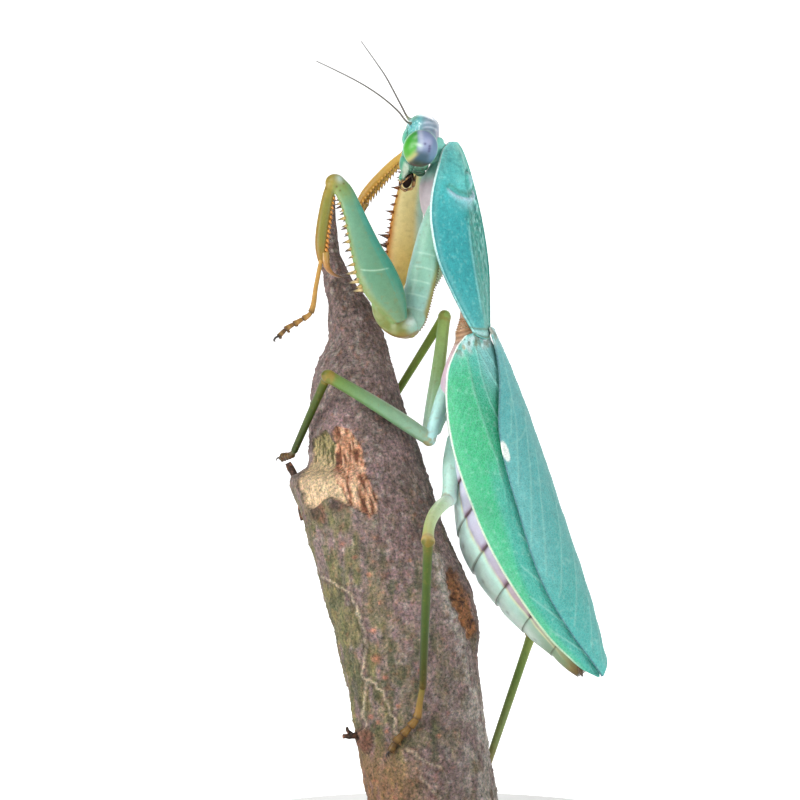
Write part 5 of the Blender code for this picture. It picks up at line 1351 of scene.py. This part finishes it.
def growSpines(name, seeds, material, slot, hook=0.0, sides=7, steps=4):
    # each seed: place, lean, length, radius, base and tip colours
    mesh = bpy.data.meshes.new(name)
    mesh.from_pydata([tuple(np.asarray(s[0]) * mm) for s in seeds], [], [])
    for key, kind, values in (("lean", "FLOAT_VECTOR", [s[1] for s in seeds]),
                              ("tall", "FLOAT", [s[2] * mm for s in seeds]),
                              ("stout", "FLOAT", [s[3] * mm for s in seeds]), ("seed", "INT", range(len(seeds)))):
        layer = mesh.attributes.new(key, kind, "POINT")
        layer.data.foreach_set("vector" if kind == "FLOAT_VECTOR" else "value",
                               np.array(values, float if kind != "INT" else int).ravel())
    piece = bpy.data.objects.new(name, mesh)
    bpy.context.scene.collection.objects.link(piece)
    grow = piece.modifiers.new("Spines", "NODES")
    grow.node_group = spinesOnPoints
    for key, value in (("sides", sides), ("steps", steps), ("blunt", 0.06), ("hook", hook), ("finish", material)):
        grow[spineSockets[key]] = value
    piece = settled(piece)
    count = len(piece.data.vertices)
    tip, seed = np.zeros(count), np.zeros(count, int)
    piece.data.attributes["tipShare"].data.foreach_get("value", tip)
    piece.data.attributes["seed"].data.foreach_get("value", seed)
    roots, tips = np.array([tone(s[4]) for s in seeds]), np.array([tone(s[5]) for s in seeds])
    paint(piece, toward(roots[seed], tips[seed], rise(tip, 0.25, 0.8)))
    return keep(piece, slot)


# rows of spines: segment, first and last share, count, length, rake, place across (-1 far, 1 near), two colours
armour = {
    "foreLeft": (("femur", 0.30, 0.85, 12, 1.2, 0.15, 0.5, "b39a5c", "2e1c12"),
                 ("femur", 0.27, 0.88, 14, 1.05, 0.1, -0.55, "553420", "160e09"),
                 ("femur", 0.28, 0.40, 3, 2.1, 0.25, 0.1, "c9b27c", "2a1a10"),
                 ("tibia", 0.2, 0.97, 14, 1.0, 1.0, 0.5, "c98432", "20120a"),
                 ("tibia", 0.25, 0.97, 11, 0.85, 1.0, -0.5, "a3672a", "20120a")),
    "foreRight": (("femur", 0.3, 0.88, 12, 1.25, 0.15, 0.55, "7a4416", "0d0805"),
                  ("femur", 0.30, 0.85, 10, 0.8, 0.1, -0.5, "96581f", "120b07"),
                  ("femur", 0.33, 0.45, 3, 1.9, 0.3, 0.0, "4a2a14", "0d0805"),
                  ("tibia", 0.1, 1.0, 17, 1.0, 0.9, 0.6, "d3a24c", "2e1a0c"),
                  ("tibia", 0.08, 1.0, 17, 0.75, 0.7, 2.1, "c9963f", "4a2f14")),
}


def buildArmour(name):
    shapes, at, _ = builtLimbs[name]
    seeds = []
    for part, first, last, count, length, rake, aside, root, tip in armour[name]:
        shape = shapes[part]
        near = -1 if shape["side"][1] > 0 else 1
        for k, t in enumerate(np.linspace(first, last, count)):
            inner, outer = reach(shape, np.array(t))
            half = (inner + outer) / 2
            angle = aside * 0.55 * near
            place = (midline(shape, np.array(t)) + shape["inward"] * (half * math.cos(angle) - 0.12)
                     + shape["side"] * half * shape["flat"] * math.sin(angle))
            lean = shape["inward"] + shape["ahead"] * rake + shape["side"] * 0.35 * aside * near
            grow = (1.2, 0.6, 0.85)[k % 3] if part == "femur" and count > 6 else 1.0
            if part == "tibia":
                grow = 0.6 + 0.8 * t
            seeds.append((place, lean / np.linalg.norm(lean), length * grow, 0.18 + 0.1 * grow * length, root,
                          tip))
    growSpines(name + "Spines", seeds, cuticles["hornCuticle"], "horn", hook=-0.12)
    shape = shapes["coxa"]
    teeth = []
    for t in np.linspace(0.42, 0.97, 26):
        inner, outer = reach(shape, np.array(t))
        half = (inner + outer) / 2
        lean = -shape["inward"] + shape["ahead"] * 0.3
        teeth.append((midline(shape, np.array(t)) - shape["inward"] * (half - 0.08), lean / np.linalg.norm(lean),
                      0.34, 0.14, "8a6b35", "241810"))
    growSpines(name + "Teeth", teeth, cuticles["hornCuticle"], "horn", sides=6, steps=2)
    shape = shapes["tibia"]
    hook = [at["ankle"] + shape["inward"] * x - shape["ahead"] * z - np.array((0, 0.25 * x, 0)) for x,
            z in ((0.4, 1.3), (0.7, 0.2), (1.2, -1.0), (2.2, -1.85), (3.5, -2.15), (4.8, -2.0))]
    sides = 18
    rings, t = taperedTube(hook, (0.7, 0.64, 0.46, 0.3, 0.18, 0.05), sides, 0.8, 60)
    tint = along(t, "0 a3823f, 0.35 9c6c30, 0.6 7d5733, 0.8 4a301a, 1 1a110b")
    keep(newPiece(name + "Hook", *loft(rings), cuticles["hornCuticle"], ringTint(tint, sides)), "horn")


buildArmour("foreLeft")
buildArmour("foreRight")
print("spines ready")

skull = {  # height, half width, front and back of the head capsule, from the crown down to the upper lip
    "levels": ((4.68, 0.7, 1.1, 0.2), (4.5, 1.7, 1.6, -0.65), (4.05, 2.4, 2.35, -1.45), (3.4, 2.8, 2.85, -1.8),
               (2.5, 3.05, 3.15, -2.1), (1.5, 3.2, 3.25, -2.25), (0.25, 3.1, 3.2, -2.25), (-1.3, 2.7, 2.8, -2.2),
               (-2.4, 2.35, 2.65, -2.1), (-3.3, 2.0, 2.65, -1.6), (-4.2, 1.6, 2.5, -0.8), (-5.2, 1.3, 2.0, 0.5),
               (-6.0, 1.1, 1.6, 0.8), (-6.6, 0.5, 1.25, 0.8)),
    "eyeAt": (3.1, 0.12, -0.35), "eyeRadii": (2.0, 2.75, 3.14), "eyeTurn": 16.0,
}


def inSkull(shell):
    return placed(shell[0], skullPlace), shell[1]


def buildHead():
    top = np.array(skull["levels"])[::-1]
    z = np.linspace(top[0, 0], top[-1, 0], 90)
    half, front, back = (flow(z, top[:, 0], top[:, k]) for k in (1, 2, 3))
    a = np.linspace(0, 2 * np.pi, 64, endpoint=False)
    middle, deep = ((front + back) / 2)[:, None], ((front - back) / 2)[:, None]
    rings = np.stack([half[:, None] * np.cos(a), middle + deep * np.sin(a), np.repeat(z[:, None], 64, 1)],
                     axis=-1)
    shells = [loft(rings)]
    for way in (-1, 1):
        shells.append(ball((1.2 * way, 0.1, 3.3), (1.7, 1.7, 1.25)))  # the lobes of the crown
        shells.append(ball((2.2 * way, -0.1, -2.9), (1.15, 1.9, 1.7)))  # cheeks
        shells.append(ball((0.8 * way, 2.3, 2.45), (0.42, 0.42, 0.42)))  # feeler sockets
        shells.append(ball((1.5 * way, -0.9, -4.1), (0.55, 0.95, 0.8)))  # jaw hinge
        shells.append(ball((2.35 * way, -1.0, 0.2), (1.6, 1.2, 2.9)))  # rim behind the eye
    shells.append(ball((0, 2.7, 0.6), (1.9, 0.7, 1.5)))  # the plate of the face
    shells.append(ball((0, 1.6, -5.9), (0.95, 0.4, 0.9)))
    piece = merged("headSkin", [inSkull(s) for s in shells], cuticles["headCuticle"], 0.08, 9)
    points = cornersOf(piece)
    local = (points - skullPlace[:3, 3]) @ skullPlace[:3, :3]
    x, y, z = local.T
    # grooves: round the face plate, across the lip, down the cheek and lines over the crown
    face = rise(y, 1.2, 2.2)
    seams = [(polyline(abs(x), z, path)[0], face)
             for path in (((0.0, 1.9), (1.1, 2.0), (2.0, 0.9), (1.7, -0.7), (0.0, -1.0)),
                          ((0.0, -2.7), (1.9, -2.6)), ((0.0, -5.1), (1.4, -5.0)))]
    seams += [(polyline(y, z, path)[0], rise(abs(x), 0.9, 1.3))
              for path in (((1.4, -2.6), (0.8, -3.9), (0.55, -5.2)), ((0.9, -3.4), (-0.4, -4.0), (-1.8, -3.6)),
                           ((0.2, -3.3), (0.4, -4.9)))]
    lines = np.clip(sum(bell(away, 0, 0.11) * where for away, where in seams), 0, 1)
    swirl = np.hypot(y + 0.4, (z - 1.2) * 0.9)
    streak = 0.5 + 0.5 * np.sin(swirl * 2 * np.pi / 0.62 + 7 * grain(points, 1.3, 54))
    dome = rise(z, 2.2, 3.0) * rise(1.6 - y, 0, 1.4)
    dip = 0.12 * lines + 0.035 * streak * dome
    piece.data.vertices.foreach_set("co", ((points - facing(piece) * dip[:, None]) * mm).ravel())
    piece.data.update()
    tint = even("3f9a80", points.shape)
    # painted glints: pale cyan flecks over the upper face
    paintedGlints = rise(grain(points, 0.25, 55), 0.56, 0.72) * rise(z, 0.8, 2.0)
    paintedGlints = paintedGlints * rise(3.9 - z, 0, 0.5) * rise(y, 0.8, 1.6)
    rim = rise(z, 2.9, 3.6) * rise(y, -1.0, 1.4)
    strip = insideShape(y, z, ((1.9, -3.4), (1.85, -4.6), (1.45, -5.9), (0.9, -6.0), (0.7, -5.2), (0.9, -4.2),
                               (1.2, -3.2)), 0.3) * rise(abs(x), 0.5, 0.9)
    tint = layered(tint, (
        ("60aaaa", rise(z, 1.0, 2.4)),
        ("8496a6", 0.95 * rise(z, 1.8, 2.8) * rise(1.9 - y, 0, 1.6)),
        ("5f6e82", 0.5 * dome * rise(streak, 0.5, 1.0)),
        ("b7c2cf", 0.5 * dome * rise(0.4 - streak, 0, 0.4)),
        ("9d90ab", 0.75 * blot(y, z, (-1.9, 1.9), (0.7, 1.1))),
        ("c3e3e4", 0.75 * paintedGlints),
        ("2f8a98", 0.6 * rise(0.36 - grain(points, 0.3, 56), 0, 0.15) * rise(z, 0.6, 2.0) * rise(y, 0.8, 1.6)),
        ("3f8f70", 0.75 * rim * rise(y + 0.5 * z, 3.7, 4.3)),
        ("3aa545", 0.85 * rise(x, -0.6, 0.4) * rise(y, 2.2, 2.8) * rise(z, -2.5, -0.5) * rise(3.0 - z, 0, 1.2)),
        ("3a8c6c", 0.9 * rise(-1.4 - z, 0, 0.8) * rise(y, 0.5, 2.0)),
        ("27543a", 0.95 * rise(-1.8 - z, 0, 1.0) * rise(1.6 - y, 0, 1.4)),
        ("182f20", 0.8 * rise(grain(points, 0.45, 57), 0.4, 0.6) * rise(-2.6 - z, 0, 0.8)
         * rise(0.8 - y, 0, 1.0)),
        ("76b090", 0.7 * bell(np.hypot((y + 1.2) / 1.1, (z + 3.3 + 0.35 * y) / 0.22), 0, 1)),
        ("a9b5a2", 0.85 * strip),
        ("2f7a5c", 0.85 * rise(y, 2.0, 2.3) * rise(-3.3 - z, 0, 0.8)),
        ("c9ae80", 0.8 * rise(-6.2 - z, 0, 0.4)),
        ("3a211a", 0.85 * blot(y, z, (0.9, -3.15), (0.75, 0.3))),
        ("24503f", 0.75 * lines),
    ))
    paint(piece, tint)
    keep(piece, "head_cuticle", "head")
    ocelli = [inSkull(ball(at, (0.15, 0.12, 0.15), None, 16, 10))
              for at in ((0.0, 3.12, 1.95), (-0.42, 2.95, 2.35), (0.42, 2.95, 2.35))]
    join("smallEyes", ocelli, cuticles["hornCuticle"], "6fa08c", "eye")


def eyeMaterial():
    # compound eye: smooth clear facets over two pigments, a wet gloss with a soft edge
    made, tree, shader = newMaterial("eyeFacets", {"IOR": 1.5, "Roughness": 0.36, "Coat Weight": 0.12,
            "Coat Roughness": 0.3, "Subsurface Weight": 0.1, "Subsurface Scale": 0.0005})
    place = addNode(tree, "ShaderNodeTexCoord").outputs["Object"]
    tint = paintOf(tree)
    # real facets are 0.04 mm and can't show; these are 0.12 mm
    facets = addNode(tree, "ShaderNodeTexVoronoi", {"feature": "DISTANCE_TO_EDGE", "Scale": 8300.0,
            "Randomness": 0.35}, {"Vector": place})
    cell = mapped(tree, facets.outputs["Distance"], (0.9, 1.03), (0.0, 0.2))
    shade = addNode(tree, "ShaderNodeVectorMath", {"operation": "SCALE"}, {0: tint, "Scale": cell})
    finishLook(tree, shader, facets.outputs["Distance"], 0.12, 0.00002, {"Base Color": shade.outputs[0]})
    return made


def buildEyes():
    facets = eyeMaterial()
    for side, node in ((1, "eye_right"), (-1, "eye_left")):
        turn = np.array(Matrix.Rotation(side * math.radians(skull["eyeTurn"]), 3, "Y"))
        centre = np.array((skull["eyeAt"][0] * side, *skull["eyeAt"][1:]))
        shape, faces = ball((0, 0, 0), skull["eyeRadii"], None, 120, 80)
        lift = 1 + 0.03 * bell(np.hypot(shape[:, 1] / 2.0, shape[:, 2] / 2.0), 0, 0.8) * (shape[:, 0] * side > 0)
        local = (shape * lift[:, None]) @ turn.T + centre
        y, z = local[:, 1] - centre[1], local[:, 2] - centre[2]
        edge = y - 0.35 - np.where(z > 0, 0.1 * z * z, 0.05 * z * z - 0.35 * z)
        soft = 0.62
        tint = even("6f7fa0", local.shape)
        greens = along(z, "-2.6 52851f, -1 3c9413, 0.6 2f9018, 2.4 318033")
        tint = layered(tint, (
            ("9da3c4", 0.75 * bell(np.hypot(y + 0.5, z - 1.5), 0, 0.9)),
            ("284a5a", 0.97 * rise(0.7 - z, 0, 1.5) * rise(1.6 - y, 0, 0.8)),
            ("5c7f9f", 0.75 * rise(-1.1 - y, 0, 1.0) * rise(z, -2.2, -0.6)),
            ("323a28", 0.9 * rise(-1.3 - z, 0, 1.0)),
            ("4a2a26", 0.8 * rise(-2.45 - z, 0, 0.4)),
            ("c3ccd3", 0.4 * bell(edge, -0.25, 0.45) * rise(z, -0.6, 0.4)),
            ("b3ab6b", 0.85 * bell(edge, -0.1, 0.4) * rise(-0.2 - z, 0, 0.9)),
            (greens, rise(edge, 0.0, soft)),
            ("9fbf5a", 0.5 * bell(edge, 0.25, 0.3) * rise(0.4 - z, 0, 1.2)),
            # painted highlight: a pale soft spot high on the eye, near the edge of the green
            ("d3ecd0", 0.6 * bell(np.hypot((y - 0.5) / 1.1, (z - 0.7) / 0.5), 0, 0.55)),
            ("8fcab0", 0.6 * rise(np.hypot(y / 2.75, z / 3.14), 0.93, 0.99)),
        ))
        for sy, sz, size in ((-0.4, 1.15, 0.2), (-1.2, 1.0, 0.2), (-1.3, 0.6, 0.24), (-1.35, 0.2, 0.2)):
            tint = toward(tint, tone("2f2c5e"), 0.85 * bell(np.hypot(y - sy, z - sz), 0, size))
        keep(newPiece("compoundEyeRight" if side > 0 else "compoundEyeLeft", placed(local, skullPlace), faces,
                      facets, tint), "eye", node)


def buildMouth():
    jaws = [ball((0.6 * w, 0.5, -6.2), (0.5, 0.75, 1.2)) for w in (-1, 1)]
    jaws.append(ball((0, 0.35, -5.6), (0.95, 0.7, 0.9)))
    join("jaws", [inSkull(s) for s in jaws], cuticles["jawHorn"], "1c0d08", "horn", "mandibles")
    a = np.linspace(0.35, 2 * np.pi - 0.25, 26)
    palps = []
    for w in (-1, 1):
        wander = 1 + 0.1 * np.sin(3 * a + 1) + 0.06 * np.sin(7 * a)
        loop = np.stack([np.full(26, 0.98 * w), 0.42 + 1.0 * np.sin(a + 0.25) * wander * (1 - 0.15 * np.cos(a)),
                         -6.5 + 1.34 * np.cos(a + 0.25) * wander], axis=-1)
        palps.append(loft(taperedTube(loop, 0.05 + 0.05 * np.sin(a / 2) + 0.02 * np.sin(5 * a), 10, 1.0, 90)[0]))
        palps.append(loft(taperedTube(((1.2 * w, 0.1, -5.0), (1.5 * w, 0.9, -6.1), (1.35 * w, 1.35, -6.9),
                (0.95 * w, 1.55, -7.25), (0.7 * w, 1.7, -6.8)),
                                      (0.16, 0.13, 0.12, 0.1, 0.07), 10, 1.0, 40)[0]))
        palps.append(loft(taperedTube(((0.8 * w, -0.6, -5.6), (1.0 * w, -0.75, -6.6), (0.8 * w, -0.2, -7.5),
                (0.5 * w, 0.6, -7.85)), (0.14, 0.12, 0.1, 0.07), 10, 1.0, 32)[0]))
    palps.append(ball((0, -0.55, -6.1), (0.7, 0.25, 1.1)))

    def palpTint(points):
        return toward(even("9c733f", points.shape), tone("3a2414"), rise(grain(points, 0.5, 58), 0.45, 0.7))

    join("palps", [inSkull(s) for s in palps], cuticles["headCuticle"], palpTint, "head_cuticle")


feelers = {"antenna_left": ((-0.8, 2.4, 2.7), ((-4.5, -2.4, 116.0), (-5.9, -3.2, 117.6), (-8.4, -4.6, 119.6),
        (-11.6, -6.4, 121.5), (-15.8, -8.8, 123.4), (-18.5, -10.3, 124.5))),
           "antenna_right": ((0.8, 2.3, 3.0), ((-4.2, 1.4, 116.9), (-5.3, 3.2, 119.1), (-7.7, 7.6, 124.1),
                   (-9.0, 9.7, 126.3), (-11.9, 14.0, 130.9)))}


def buildFeelers():
    for node, (root, rest) in feelers.items():
        path = np.vstack([placed([root], skullPlace), rest])
        sides = 10
        rings, t = taperedTube(path, [1.0] * len(path), sides, 1.0, 300)
        beads = 1 + 0.12 * np.sin(t * 2 * np.pi * 60) * rise(t, 0.06, 0.1)
        size = flow(t, (0, 0.03, 0.06, 0.1, 0.5, 1.0), (0.32, 0.33, 0.22, 0.16, 0.12, 0.07)) * beads
        tint = along(t, "0 6fa898, 0.05 77785f, 0.1 514a42, 0.5 4e4842, 1 3e3833")
        name = "feelerLeft" if node.endswith("left") else "feelerRight"
        piece = newPiece(name, *loft(sized(rings, size)), cuticles["hornCuticle"], ringTint(tint, sides))
        keep(piece, "horn", node)


buildHead()
buildEyes()
buildMouth()
buildFeelers()
print("head ready")

bpy.context.view_layer.update()
